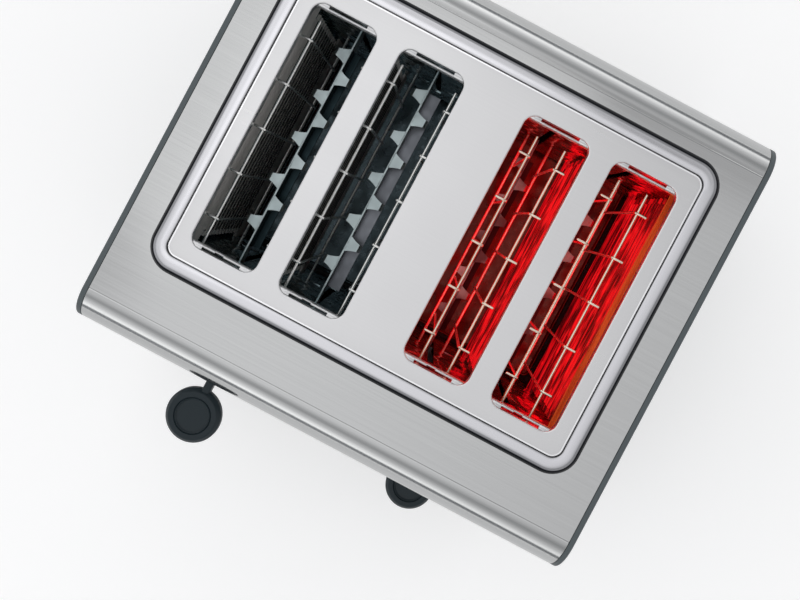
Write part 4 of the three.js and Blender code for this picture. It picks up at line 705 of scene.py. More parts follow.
SCREW_RADIUS = 3.2
SCREW_DEPTH = 2.6
FOOT_GROOVE = 0.8
for number in range(1, 5):
    low, high, middle = box_mm(f"rubber_foot_{number}")
    radius = (high.x - low.x) / 2
    outline = [
        (0, SCREW_DEPTH, 0),
        (SCREW_RADIUS, SCREW_DEPTH, 0),
        (SCREW_RADIUS, 0, 0.5),
        (radius * 0.55, 0, 0),
        (radius * 0.6, FOOT_GROOVE, 0.3),
        (radius * 0.7, FOOT_GROOVE, 0.3),
        (radius * 0.75, 0, 0),
        (radius, 0, 1.4),
        (radius, high.z, 0.5),
        (0, high.z, 0),
    ]
    bm = bmesh.new()
    turned(bm, outline, (middle.x, middle.y, 0), "z", 40)
    add_piece(f"rubber_pad_{number}", bm, rubber, "housing", [f"rubber_foot_{number}"])


# Bulkheads and heat shields: sheets of aluminised steel around the chambers, cut with slits for the
# racks and the guide wires. They mirror the chamber softly and carry a painted red glow towards the elements.
def dress(material, *names):
    """Gives frame nodes that keep their own shape a new material."""
    for name in names:
        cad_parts[name].material_slots[0].material = material


# Colours painted right of the middle, in patches: a painted red glow of the heating elements, and the width
# in mm over which it fades in.
PAINTED_GLOW_TINT = ("#6A1A20", "#E08C8E")
GLOW_FADE = 8


def aluminised_sheet(name, colours, roughness, dent_depth, painted_glow=None):
    """Steel sheet dipped in aluminium: a dull silver mirror with a faint spangle, about 4 mm across,
    blue-grey stains, and dents of a depth in mm, which break up its reflections into patches. Beside
    the glowing elements, right of the toaster's middle, it can carry a red tint in patches: a painted
    red glow of the elements."""
    material, tree, inputs, place = start_material(name, colours[0], Metallic=1)
    spangle = node(tree, "TexVoronoi", {"Vector": place, "Scale": per_mm(4)}, feature="SMOOTH_F1")
    stains = node(tree, "TexNoise", {"Vector": place, "Scale": per_mm(28), "Detail": 4})
    tones = {FACTOR: stains, COLOUR_A: colours[0], COLOUR_B: colours[1]}
    if painted_glow:
        # Right of the middle the plain tones give way to the painted glow colours, in patches.
        across = node(tree, "SeparateXYZ", {0: place}).outputs["X"]
        glow_side = node(tree, "MapRange", {"Value": across, "From Min": 0, "From Max": GLOW_FADE * MM})
        patches = node(tree, "MapRange", {"Value": stains, "From Min": 0.42, "From Max": 0.68})
        plain = node(tree, "Mix", tones, **COLOURS)
        glow_tones = {FACTOR: patches, COLOUR_A: painted_glow[0], COLOUR_B: painted_glow[1]}
        tones = {FACTOR: glow_side, COLOUR_A: plain, COLOUR_B: node(tree, "Mix", glow_tones, **COLOURS)}
    node(tree, "Mix", tones, inputs["Base Color"], **COLOURS)
    spread = {"Value": spangle, "To Min": roughness[0], "To Max": roughness[1]}
    node(tree, "MapRange", spread, inputs["Roughness"])
    dents = node(tree, "TexNoise", {"Vector": place, "Scale": per_mm(17), "Detail": 1})
    node(tree, "Bump", {"Strength": 1, "Distance": dent_depth * MM, "Height": dents}, inputs["Normal"])
    return material


sheet_steel = aluminised_sheet("aluminised_steel", ("#8FA9B0", "#B9CBCF"), (0.16, 0.34), 6, PAINTED_GLOW_TINT)
dress(sheet_steel, "front_bulkhead", "rear_bulkhead")
dress(sheet_steel, "left_side_shield", "right_side_shield", "centre_shield")


# Heating elements: boards of brown mica with toothed ends, each wound with one flat ribbon of resistance
# alloy. The left three are cold. The right three are switched on, so their ribbons and boards glow.
GLOW_ON_WALLS = 3.5


def add_glow(tree, inputs, pattern, full_heat, colours, strength):
    """Lets a shader glow between two colours, as hot as a pattern says. The glow lights the chamber
    more than it dazzles the camera, as the picture's exposure does."""
    rise = {"Value": pattern, "From Min": 0.42, "From Max": full_heat}
    heat = node(tree, "MapRange", rise, interpolation_type="SMOOTHSTEP")
    glow = node(tree, "Mix", {FACTOR: heat, COLOUR_A: colours[0], COLOUR_B: colours[1]}, **COLOURS)
    direct = node(tree, "LightPath").outputs["Is Camera Ray"]
    share = node(tree, "MapRange", {"Value": direct, "To Min": GLOW_ON_WALLS, "To Max": 1})
    spread = {FACTOR: 1, COLOUR_A: glow, COLOUR_B: share}
    node(tree, "Mix", spread, inputs["Emission Color"], **MULTIPLIED)
    inputs["Emission Strength"].default_value = strength


def mica_board(name, colours, glow_colours=None, strength=0.0):
    """Phlogopite mica board: pressed flakes, brown and slightly glossy, with cloudy layers along it.
    Switched on, it is lit through by the ribbon and glows deep red, in patches."""
    material, tree, inputs, place = start_material(name, colours[0], Roughness=0.38)
    layers = node(tree, "Mapping", {"Vector": place, "Scale": per_mm(14, 30, 6)})
    flakes = node(tree, "TexNoise", {"Vector": layers, "Scale": 1, "Detail": 6})
    tones = {FACTOR: flakes, COLOUR_A: colours[0], COLOUR_B: colours[1]}
    node(tree, "Mix", tones, inputs["Base Color"], **COLOURS)
    node(tree, "Bump", {"Strength": 0.5, "Distance": 0.1 * MM, "Height": flakes}, inputs["Normal"])
    if glow_colours:
        add_glow(tree, inputs, flakes, 0.62, glow_colours, strength)
    return material


def alloy_ribbon(name, colours, glow_colours=None, strength=0.0):
    """Iron-chromium-aluminium ribbon: dull grey oxide when cold. When hot it glows red, brighter and
    darker by turns over about 30 mm of its length."""
    material, tree, inputs, place = start_material(name, colours[0], Metallic=0.7, Roughness=0.45)
    oxide = node(tree, "TexNoise", {"Vector": place, "Scale": per_mm(6), "Detail": 3})
    tones = {FACTOR: oxide, COLOUR_A: colours[0], COLOUR_B: colours[1]}
    node(tree, "Mix", tones, inputs["Base Color"], **COLOURS)
    if glow_colours:
        stretches = node(tree, "Mapping", {"Vector": place, "Scale": per_mm(12, 26, 15)})
        heat = node(tree, "TexNoise", {"Vector": stretches, "Scale": 1, "Detail": 3})
        add_glow(tree, inputs, heat, 0.6, glow_colours, strength)
    return material


# The cold boards are drawn pale grey, where the mica is brown, so that they read lighter in the dim chamber:
# painted light.
cold_mica = mica_board("mica_board", ("#B4B0AC", "#F0EDE9"))
hot_mica = mica_board("glowing_mica_board", ("#5A2A1C", "#7A3A22"), ("#200003", "#B0060E"), 1.3)
margin_mica = mica_board("warm_mica_board", ("#A86030", "#C47A40"), ("#4A1A04", "#7A3410"), 1.0)
cold_ribbon = alloy_ribbon("cold_ribbon", ("#1B1B1B", "#343433"))
# The hot ribbon's red-brown base colour, where the cold one is grey, is a painted red glow besides its
# emission.
hot_ribbon = alloy_ribbon("glowing_ribbon", ("#5A2010", "#803018"), ("#2C0004", "#E0121A"), 0.95)
BOARD_WALL = 1.4
BOARD_TOP_CORNER = 2
BOARD_TOP_EDGE = 0.15
RIBBON_BOTTOM = 65
RIBBON_TURNS = 11
RIBBON_PITCH = 7.6
RIBBON_WIDTH = 2.2
RIBBON_WALL = 0.4
NOTCH_DEPTH = 7
TOOTH_DEPTH = 4
TOOTH_ROOT = 0.6 * RIBBON_PITCH
TOOTH_TAPER = 0.55
RIVET_RADIUS = 1.6
RIVET_SETBACK = 20
RIVET_HEIGHT = 8
wound_low = RIBBON_BOTTOM - RIBBON_PITCH / 2
wound_high = RIBBON_BOTTOM + (RIBBON_TURNS + 0.5) * RIBBON_PITCH
half = BOARD_WALL / 2
step = RIBBON_PITCH / 4
for number in range(1, 7):
    low, high, middle = box_mm(f"heating_element_{number}")
    x = middle.x
    if x > 0:
        slot, mica, margin, ribbon = "glowing_mica", hot_mica, margin_mica, hot_ribbon
    else:
        slot, mica, margin, ribbon = "mica", cold_mica, cold_mica, cold_ribbon
    bm = bmesh.new()
    for z_low, z_high, setback in ((low.z, wound_low, 0), (wound_low, wound_high, NOTCH_DEPTH)):
        rounded_block(bm, (x - half, low.y + setback, z_low), (x + half, high.y - setback, z_high))
    for i in range(RIBBON_TURNS + 1):
        for end_y, inward, shift in ((low.y, 1, 0.5), (high.y, -1, 0.75)):
            root = end_y + inward * NOTCH_DEPTH
            tip = root - inward * TOOTH_DEPTH
            z = RIBBON_BOTTOM + (i - shift) * RIBBON_PITCH
            tooth_low = (x - half, min(root, tip), z - TOOTH_ROOT / 2)
            for vert in rounded_block(bm, tooth_low, (x + half, max(root, tip), z + TOOTH_ROOT / 2)):
                if abs(vert.co.y - tip) < 0.1:
                    vert.co.z = z + (vert.co.z - z) * TOOTH_TAPER
    for y in (low.y + RIVET_SETBACK, high.y - RIVET_SETBACK):
        for face in (-1, 1):
            rivet = bmesh.ops.create_uvsphere(bm, u_segments=12, v_segments=6, radius=RIVET_RADIUS)["verts"]
            bmesh.ops.scale(bm, vec=(0.4, 1, 1), verts=rivet)
            bmesh.ops.translate(bm, vec=(x + face * half, y, low.z + RIVET_HEIGHT), verts=rivet)
    add_piece(f"mica_board_{number}", bm, mica, "housing", [f"heating_element_{number}"])
    bm = bmesh.new()
    top_low = (x - half, low.y, wound_high)
    rounded_block(bm, top_low, (x + half, high.y, high.z), BOARD_TOP_CORNER, "x", 4)
    soften(bm, BOARD_TOP_EDGE, 1, 60)
    add_piece(f"mica_top_{number}", bm, margin, "housing")
    bm = bmesh.new()
    front_y = low.y + NOTCH_DEPTH
    back_y = high.y - NOTCH_DEPTH
    for i in range(4 * RIBBON_TURNS):
        quarter = i % 4
        z_low = RIBBON_BOTTOM + i * step - RIBBON_WIDTH / 2
        z_high = z_low + RIBBON_WIDTH
        if quarter in (0, 2):
            face = 1 if quarter == 0 else -1
            run_low = (x + face * half, front_y - RIBBON_WALL, z_low)
            run_high = (x + face * (half + RIBBON_WALL), back_y + RIBBON_WALL, z_high)
            far = back_y if face > 0 else front_y
            for vert in rounded_block(bm, run_low, run_high):
                if abs(vert.co.y - far) < 1:
                    vert.co.z += step
        else:
            end_y = back_y if quarter == 1 else front_y
            outer_y = end_y + (RIBBON_WALL if quarter == 1 else -RIBBON_WALL)
            turn_low = (x - half - RIBBON_WALL, min(end_y, outer_y), z_low)
            turn_high = (x + half + RIBBON_WALL, max(end_y, outer_y), z_high)
            for vert in rounded_block(bm, turn_low, turn_high):
                if (vert.co.x < x) == (quarter == 1):
                    vert.co.z += step
    bmesh.ops.recalc_face_normals(bm, faces=bm.faces)
    add_piece(f"heating_ribbon_{number}", bm, ribbon, "housing")


# Guide grids: drawn stainless wire, 1.5 mm thick. Each grid has three long wires, and five uprights whose
# tops are bent over sideways. The uprights are spot-welded to the long wires.
def wire_steel(name, colours):
    """Drawn stainless wire: bright, a little uneven from the die, and changing slightly in colour."""
    material, tree, inputs, place = start_material(name, colours[0], Metallic=1)
    marks = node(tree, "TexNoise", {"Vector": place, "Scale": per_mm(3), "Detail": 4})
    tones = {FACTOR: marks, COLOUR_A: colours[0], COLOUR_B: colours[1]}
    node(tree, "Mix", tones, inputs["Base Color"], **COLOURS)
    node(tree, "MapRange", {"Value": marks, "To Min": 0.2, "To Max": 0.4}, inputs["Roughness"])
    return material


def straight_wire(bm, start, end, radius, sides=12):
    """Adds a straight wire with rounded ends."""
    start, end = Vector(start), Vector(end)
    size = {"radius1": radius, "radius2": radius, "depth": (end - start).length}
    made = bmesh.ops.create_cone(bm, cap_ends=True, segments=sides, **size)["verts"]
    turn = (end - start).to_track_quat("Z", "Y").to_matrix()
    bmesh.ops.rotate(bm, cent=(0, 0, 0), matrix=turn, verts=made)
    bmesh.ops.translate(bm, vec=(start + end) / 2, verts=made)
    soften(bm, radius * 0.6, 3, 60, list({e for v in made for e in v.link_edges}))


WIRE_BEND = 2.2


def bent_wire(bm, foot, top_z, end_x, radius):
    """Adds an upright wire whose top is bent over towards end_x."""
    outward = 1 if end_x > foot.x else -1
    ring = bmesh.ops.create_circle(bm, segments=12, radius=radius)["verts"]
    bmesh.ops.translate(bm, vec=foot, verts=ring)
    first = list({e for v in ring for e in v.link_edges})
    row = draw_on(bm, first, (0, 0, top_z - WIRE_BEND - foot.z))
    centre = (foot.x + outward * WIRE_BEND, foot.y, top_z - WIRE_BEND)
    row = turn_on(bm, row, centre, (0, 1, 0), outward * math.pi / 2, 6)
    row = draw_on(bm, row, (end_x - foot.x - outward * WIRE_BEND, 0, 0))
    row = draw_on(bm, row, (outward * radius * 0.5, 0, 0))
    tip = list({v for e in row for v in e.verts})
    middle = sum((v.co for v in tip), Vector()) / len(tip)
    for vert in tip:
        vert.co = middle + (vert.co - middle) * 0.6
    bmesh.ops.contextual_create(bm, geom=row)
    bmesh.ops.contextual_create(bm, geom=first)


cold_wire = wire_steel("drawn_stainless_wire", ("#DDDDDA", "#F4F4F2"))
# The guides in the glowing slots are cream: a painted warm glow of the elements on the steel.
glow_lit_wire = wire_steel("painted_glow_wire", ("#EBD9C4", "#FBF0E2"))
GUIDE_RADIUS = 0.75
GUIDE_FOOT_SPACING = 3.4
GUIDE_PITCH = 26.4
GUIDE_COUNT = 5
GUIDE_SHIFT = -1.3
GUIDE_UPRIGHT_SETBACK = 1.2
GUIDE_REAR_SHORTFALL = 12.2
WELD_RADIUS = 1.1
WELD_SIZE = (1, 0.8, 0.8)
first_guide_y = (slot_front + slot_rear) / 2 + GUIDE_SHIFT - (GUIDE_COUNT - 1) / 2 * GUIDE_PITCH
for number in range(1, 5):
    wire = cold_wire if number < 3 else glow_lit_wire
    for side, outward in (("left", -1), ("right", 1)):
        name = f"guide_grid_{number}_{side}"
        low, high, _ = box_mm(name)
        upright_x = low.x + GUIDE_RADIUS if outward > 0 else high.x - GUIDE_RADIUS
        end_x = (high.x if outward > 0 else low.x) - outward * GUIDE_RADIUS / 2
        plane_x = upright_x + outward * GUIDE_UPRIGHT_SETBACK
        bar_z = high.z - GUIDE_RADIUS
        foot_z = low.z + GUIDE_RADIUS
        feet = (foot_z, foot_z + GUIDE_FOOT_SPACING)
        top_z = bar_z - GUIDE_RADIUS
        bm = bmesh.new()
        top_rear = (plane_x, high.y - GUIDE_REAR_SHORTFALL, top_z)
        straight_wire(bm, (plane_x, low.y, top_z), top_rear, GUIDE_RADIUS)
        for z in feet:
            straight_wire(bm, (plane_x, low.y, z), (plane_x, high.y, z), GUIDE_RADIUS)
        for i in range(GUIDE_COUNT):
            y = first_guide_y + i * GUIDE_PITCH
            bent_wire(bm, Vector((upright_x, y, low.z)), bar_z, end_x, GUIDE_RADIUS)
            for z in (top_z, *feet):
                weld = bmesh.ops.create_icosphere(bm, subdivisions=2, radius=WELD_RADIUS)["verts"]
                bmesh.ops.scale(bm, vec=WELD_SIZE, verts=weld)
                bmesh.ops.translate(bm, vec=((plane_x + upright_x) / 2, y, z), verts=weld)
        bmesh.ops.recalc_face_normals(bm, faces=bm.faces)
        add_piece(f"wire_guide_{number}_{side}", bm, wire, f"guide_{number}_{side}", [name])


# Bread racks: an upright strip of steel under the middle of each slot, with slats bent out of its top
# edge to the left and the right in turn. A slat is waisted, and its tip is bent down. A narrow ledge
# runs along the foot of each strip, on its right: dark as a painted shade, and paler on the second
# rack as painted light. Right of the middle, racks and ledges carry a painted red glow.
# Colours painted right of the middle, in patches: a painted red glow of the elements on the racks and on the
# ledges.
RACK_PAINTED_GLOW = ("#6A4444", "#C8A09C")
LEDGE_PAINTED_GLOW = ("#3A1416", "#5A2426")
rack_steel = aluminised_sheet("rack_steel", ("#9AA7A9", "#B6C1C2"), (0.3, 0.45), 0.7, RACK_PAINTED_GLOW)
# The dark ledge is a painted shade at the strip's foot; the paler grey ledge is painted light.
painted_shade_ledge = aluminised_sheet("painted_shade_ledge_steel", ("#202C30", "#2E3B3F"), (0.35, 0.5), 0.7, LEDGE_PAINTED_GLOW)
painted_light_ledge = aluminised_sheet("painted_light_ledge_steel", ("#5C5F64", "#808389"), (0.3, 0.45), 1)
RACK_WALL = 1.2
RACK_EDGE = 0.2
SLAT_LENGTH = 8
SLAT_ROOT = 9.6
SLAT_TIP = 4.2
# The power by which a slat narrows from its root to its tip.
SLAT_WAIST = 1.6
SLAT_OFFSET = 5
SLAT_TIP_DROOP = 1.8
SLAT_FLAT_SHARE = 0.84
# How far each rack's ledge reaches from the middle of its strip, and its material, with its painted shade or
# painted light.
LEDGES = ((5, painted_shade_ledge), (8, painted_light_ledge), (5, painted_shade_ledge), (5, painted_shade_ledge))
LEDGE_WALL = 0.3
LEDGE_TOP_GAP = 0.4
LEDGE_EDGE = 0.12
ledge_front = first_guide_y - SLAT_ROOT
ledge_rear = first_guide_y + (GUIDE_COUNT - 1) * GUIDE_PITCH + SLAT_ROOT
for number, (ledge_width, ledge_steel) in enumerate(LEDGES, 1):
    body = "left_lever_set" if number < 3 else "right_lever_set"
    low, high, middle = box_mm(f"bread_rack_{number}")
    x = middle.x
    inner_x = x + RACK_WALL / 2
    bm = bmesh.new()
    rounded_block(bm, (x - RACK_WALL / 2, low.y, low.z), (inner_x, high.y, high.z))
    soften(bm, RACK_EDGE, 1, 60)
    for i in range(2 * GUIDE_COUNT - 1):
        outward = 1 if i % 2 else -1
        y = first_guide_y + SLAT_OFFSET + i * GUIDE_PITCH / 2
        slat = bmesh.ops.create_grid(bm, x_segments=12, y_segments=4, size=0.5)["verts"]
        for vert in slat:
            share = vert.co.x + 0.5
            width = SLAT_TIP + (SLAT_ROOT - SLAT_TIP) * (1 - share) ** SLAT_WAIST
            droop = SLAT_TIP_DROOP * max(0, share - SLAT_FLAT_SHARE) / (1 - SLAT_FLAT_SHARE)
            vert.co = Vector((x + outward * share * SLAT_LENGTH, y + vert.co.y * width, high.z - droop))
        faces = list({f for v in slat for f in v.link_faces})
        grown = bmesh.ops.extrude_face_region(bm, geom=faces, use_keep_orig=True)["geom"]
        bmesh.ops.translate(bm, vec=(0, 0, -RACK_WALL), verts=verts_of(grown))
    bmesh.ops.recalc_face_normals(bm, faces=bm.faces)
    add_piece(f"slatted_rack_{number}", bm, rack_steel, body, [f"bread_rack_{number}"])
    bm = bmesh.new()
    ledge_low = (inner_x, ledge_front, low.z)
    rounded_block(bm, ledge_low, (x + ledge_width, ledge_rear, low.z + RACK_WALL))
    rounded_block(bm, ledge_low, (inner_x + LEDGE_WALL, ledge_rear, high.z - RACK_WALL - LEDGE_TOP_GAP))
    soften(bm, LEDGE_EDGE, 1, 60)
    add_piece(f"rack_ledge_{number}", bm, ledge_steel, body)


# Lever knobs: discs of anthracite plastic with a satin surface and a shallow dish on top, which a fine
# groove surrounds. Each sits on a narrow neck that runs through the slot in the cover.
KNOB_COLOURS = ("#131F25", "#1A292F")
knob_plastic = moulded_plastic("anthracite_abs", KNOB_COLOURS, 0.5, (0.34, 0.48), Specular_IOR_Level=0.34)
KNOB_RADIUS = 15
NECK_WIDTH = 4.6
NECK_HEIGHT = 7
NECK_CORNER = 1.2
NECK_START = 9
for side in ("left", "right"):
    name = f"{side}_lever_knob"
    low, high, middle = box_mm(name)
    x, y, z = middle.x, low.y + KNOB_RADIUS, middle.z
    half = (high.z - low.z) / 2
    # From the middle of the underside over the rim to the groove and into the dish.
    outline = [
        (0, -half, 0),
        (KNOB_RADIUS - 2.4, -half, 1),
        (KNOB_RADIUS, -half + 2.4, 2),
        (KNOB_RADIUS, half - 2.2, 1.8),
        (KNOB_RADIUS - 2, half, 1.4),
        (10.2, half, 0.1),
        (9.8, half - 0.8, 0.1),
        (9.4, half - 0.15, 0.15),
        (8.6, half - 1, 0.5),
        (0, half - 1.3, 0),
    ]
    bm = bmesh.new()
    turned(bm, outline, (x, y, z), "z", 96)
    neck_low = (x - NECK_WIDTH / 2, y + NECK_START, z - NECK_HEIGHT / 2)
    neck_high = (x + NECK_WIDTH / 2, high.y, z + NECK_HEIGHT / 2)
    rounded_block(bm, neck_low, neck_high, NECK_CORNER, "y", 4)
    add_piece(f"{side}_finger_disc", bm, knob_plastic, f"{side}_lever_set", [name])


# Lever works: carriages of bent sheet, ground steel rods, return springs and holding magnets. They sit
# between the cover and the front bulkhead.
work_steel = aluminised_sheet("plated_work_steel", ("#9AA2A5", "#AEB5B7"), (0.3, 0.45), 0.7)
dress(work_steel, "left_lever_carriage", "right_lever_carriage")
rod_steel = wire_steel("ground_steel_rod", ("#C4C4C2", "#D8D8D6"))
WINDING_PITCH = 1.578
# At a scale of 1, a wave texture draws a band every 0.314 m.
WAVE_LENGTH = math.pi / 10
# Enamelled copper wire in even layers: a dark red-brown metal with fine ribs round the coil.
coil_copper, tree, inputs, place = start_material("enamelled_copper", "#8A4A26", Metallic=1, Roughness=0.35)
winding = {"Vector": place, "Scale": per_mm(WINDING_PITCH) * WAVE_LENGTH, "Distortion": 0.4}
turns = node(tree, "TexWave", winding, wave_type="BANDS", bands_direction="Z")
node(tree, "Mix", {FACTOR: turns, COLOUR_A: "#5A2C16", COLOUR_B: "#A65A2E"}, inputs["Base Color"], **COLOURS)
node(tree, "Bump", {"Strength": 0.6, "Distance": 0.2 * MM, "Height": turns}, inputs["Normal"])
dress(coil_copper, "left_holding_magnet", "right_holding_magnet")
SPRING_COIL = 3.2
SPRING_WIRE = 0.6
SPRING_TURNS = 8
SPRING_STEPS = 24 * SPRING_TURNS
for side in ("left", "right"):
    low, high, middle = box_mm(f"{side}_guide_rod")
    bm = bmesh.new()
    top = (middle.x, middle.y, high.z)
    straight_wire(bm, (middle.x, middle.y, low.z), top, (high.x - low.x) / 2, 32)
    add_piece(f"{side}_ground_rod", bm, rod_steel, "housing", [f"{side}_guide_rod"])
    low, high, middle = box_mm(f"{side}_return_spring")
    bm = bmesh.new()
    ring = bmesh.ops.create_circle(bm, segments=10, radius=SPRING_WIRE)["verts"]
    upright = Vector((0, 1, 0)).to_track_quat("Z", "Y").to_matrix()
    bmesh.ops.rotate(bm, cent=(0, 0, 0), matrix=upright, verts=ring)
    bmesh.ops.translate(bm, vec=(middle.x + SPRING_COIL, middle.y, low.z + SPRING_WIRE), verts=ring)
    first = list({e for v in ring for e in v.link_edges})
    last = bmesh.ops.spin(
        bm,
        geom=ring + first,
        cent=(middle.x, middle.y, 0),
        axis=(0, 0, 1),
        dvec=(0, 0, (high.z - low.z - 2 * SPRING_WIRE) / SPRING_STEPS),
        angle=2 * math.pi * SPRING_TURNS,
        steps=SPRING_STEPS,
    )["geom_last"]
    bmesh.ops.contextual_create(bm, geom=first)
    bmesh.ops.contextual_create(bm, geom=[e for e in last if isinstance(e, bmesh.types.BMEdge)])
    bmesh.ops.recalc_face_normals(bm, faces=bm.faces)
    spring = to_object(bm, f"{side}_wound_spring")
    spring.data.materials.append(rod_steel)
    spring.data.shade_smooth()
    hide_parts(f"{side}_return_spring")
    top = (middle.x * MM, middle.y * MM, high.z * MM)
    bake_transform(spring)


# Control boards: green fibreglass boards behind the panels, with copper tracks, the dial's sensor and the
# switches. Only their edges show, with the panels off.
TRACK_PITCH = 5
# At a scale of 1, a brick texture draws a row every 0.25 m.
ROW_HEIGHT = 0.25
# Solder resist over fibreglass: a glossy dark green, paler where a copper track lies under it.
board_green, tree, inputs, place = start_material("circuit_board", "#2F5D3A", Roughness=0.4, Coat_Weight=0.5)
rows = {"Vector": place, "Scale": per_mm(TRACK_PITCH) * ROW_HEIGHT, "Mortar Size": 0.03}
tracks = node(tree, "TexBrick", rows).outputs["Fac"]
node(tree, "Mix", {FACTOR: tracks, COLOUR_A: "#24502F", COLOUR_B: "#4E8A55"}, inputs["Base Color"], **COLOURS)
dress(board_green, "left_control_board", "right_control_board")


# Control panels: black moulded plates in the cover's windows. Each has a scale of ticks and numbers
# around its dial, printed in white, and three windows for the buttons with a sunk rim.
PANEL_COLOURS = ("#1C1F21", "#23272A")
panel_plastic = moulded_plastic("black_panel_abs", PANEL_COLOURS, 0.5, (0.3, 0.42), Coat_Weight=0.2)
# Screen-printed white ink: matt, and a little uneven where it was drawn through the screen.
print_white, tree, inputs, place = start_material("white_print", "#E8E9EA", Roughness=0.5)
ink = node(tree, "TexNoise", {"Vector": place, "Scale": per_mm(0.6), "Detail": 2})
node(tree, "Mix", {FACTOR: ink, COLOUR_A: "#DADCDD", COLOUR_B: "#F2F3F3"}, inputs["Base Color"], **COLOURS)
PANEL_FLANGE_WALL = 2
PANEL_FLANGE_GAP = 0.3
PANEL_BOSS = 3
PANEL_DEEP_CUT = 20
PANEL_CORNER = 6
PANEL_EDGE = 0.8
DIAL_BORE = 3.4
BUTTON_COUNT = 3
BUTTON_CORNER = 3
BUTTON_GAP = 0.4
BUTTON_RIM = 0.9
BUTTON_RIM_DEPTH = 0.6
PRINT_DEPTH = 0.06
TICK_COUNT = 26
TICKS_PER_NUMBER = 5
TICK_RADIUS = 16.4
TICK_WIDTH = 0.45
LONG_TICK = 2
SHORT_TICK = 1.1
NUMBER_RADIUS = 20.2
NUMBER_SIZE = 3.6
SWEEP = math.radians(270)


def printed_number(bm, number, place):
    """Adds a number in the built-in face to a mesh, upright on a front, centred on a place."""
    words = bpy.data.curves.new("number", "FONT")
    words.body = str(number)
    words.size = NUMBER_SIZE
    words.align_x = words.align_y = "CENTER"
    words.extrude = PRINT_DEPTH / 2
    holder = bpy.data.objects.new("number", words)
    scene.collection.objects.link(holder)
    bpy.context.view_layer.update()
    known = set(bm.verts)
    drawn = bpy.data.meshes.new_from_object(holder.evaluated_get(bpy.context.evaluated_depsgraph_get()))
    bm.from_mesh(drawn)
    for vert in bm.verts:
        if vert not in known:
            vert.co = Vector(place) + Vector((vert.co.x, -vert.co.z, vert.co.y))
    bpy.data.objects.remove(holder)
    bpy.data.curves.remove(words)
    bpy.data.meshes.remove(drawn)


def button_windows(side, front_y, grow, depth):
    """A cutter for the windows of a panel's three buttons, wider than the buttons on each side."""
    windows = bmesh.new()
    for i in range(1, BUTTON_COUNT + 1):
        low, high, _ = box_mm(f"{side}_button_{i}")
        upright_block(windows, low, high, front_y - OVERRUN, front_y + depth, BUTTON_CORNER + grow, grow)
    return windows


def dial_bore(place):
    """A cutter for the hole that a dial's stem goes through."""
    bore = bmesh.new()
    outline = [(0, -1, 0), (DIAL_BORE, -1, 0), (DIAL_BORE, PANEL_DEEP_CUT, 0), (0, PANEL_DEEP_CUT, 0)]
    turned(bore, outline, place, "y", 32)
    return bore


for side in ("left", "right"):
    name = f"{side}_control_panel"
    low, high, middle = box_mm(name)
    board_low, board_high, _ = box_mm(f"{side}_control_board")
    dial = box_mm(f"{side}_browning_dial")[2]
    face_y = low.y
    flange_y = cover_low.y + COVER_WALL + PANEL_FLANGE_GAP
    flange_back_y = flange_y + PANEL_FLANGE_WALL
    bm = bmesh.new()
    upright_block(bm, low, high, flange_y, flange_back_y, PANEL_CORNER + PANEL_RIM, 0, 10)
    bm = cut_away(bm, button_windows(side, face_y, BUTTON_GAP, PANEL_DEEP_CUT))
    bm = cut_away(bm, dial_bore((dial.x, face_y, dial.z)))
    length = high.y - flange_back_y
    boss = [(0, -0.2, 0), (PANEL_BOSS, -0.2, 0), (PANEL_BOSS, length, 0.4), (0, length, 0)]
    for x in (board_low.x + PANEL_BOSS, board_high.x - PANEL_BOSS):
        turned(bm, boss, (x, flange_back_y, middle.z), "y", 24)
    add_piece(f"{side}_panel_flange", bm, panel_plastic, "housing", [name])
    bm = bmesh.new()
    upright_block(bm, low, high, face_y, flange_y, PANEL_CORNER, -PANEL_RIM, 10)
    front_edges = [e for e in bm.edges if all(v.co.y < face_y + 0.01 for v in e.verts)]
    soften(bm, PANEL_EDGE, 4, 60, front_edges)
    bm = cut_away(bm, button_windows(side, face_y, BUTTON_GAP, PANEL_DEEP_CUT))
    bm = cut_away(bm, button_windows(side, face_y, BUTTON_GAP + BUTTON_RIM, BUTTON_RIM_DEPTH))
    bm = cut_away(bm, dial_bore((dial.x, face_y, dial.z)))
    add_piece(f"{side}_panel_plate", bm, panel_plastic, "housing", [name])
    bm = bmesh.new()
    for i in range(TICK_COUNT):
        numbered = i % TICKS_PER_NUMBER == 0
        angle = SWEEP * (i / (TICK_COUNT - 1) - 0.5)
        cos, sin = math.cos(angle), math.sin(angle)
        tick_top = TICK_RADIUS + (LONG_TICK if numbered else SHORT_TICK)
        tick = rounded_block(bm, (-TICK_WIDTH / 2, 0, TICK_RADIUS), (TICK_WIDTH / 2, PRINT_DEPTH, tick_top))
        for vert in tick:
            across, depth, up = vert.co
            x = dial.x + across * cos + up * sin
            vert.co = (x, depth + face_y - PRINT_DEPTH, dial.z - across * sin + up * cos)
        if numbered:
            x, z = dial.x + NUMBER_RADIUS * sin, dial.z + NUMBER_RADIUS * cos
            printed_number(bm, i // TICKS_PER_NUMBER + 1, (x, face_y - PRINT_DEPTH / 2, z))
    bmesh.ops.remove_doubles(bm, verts=bm.verts, dist=0.0005)
    bmesh.ops.recalc_face_normals(bm, faces=bm.faces)
    add_piece(f"{side}_dial_scale", bm, print_white, "housing")


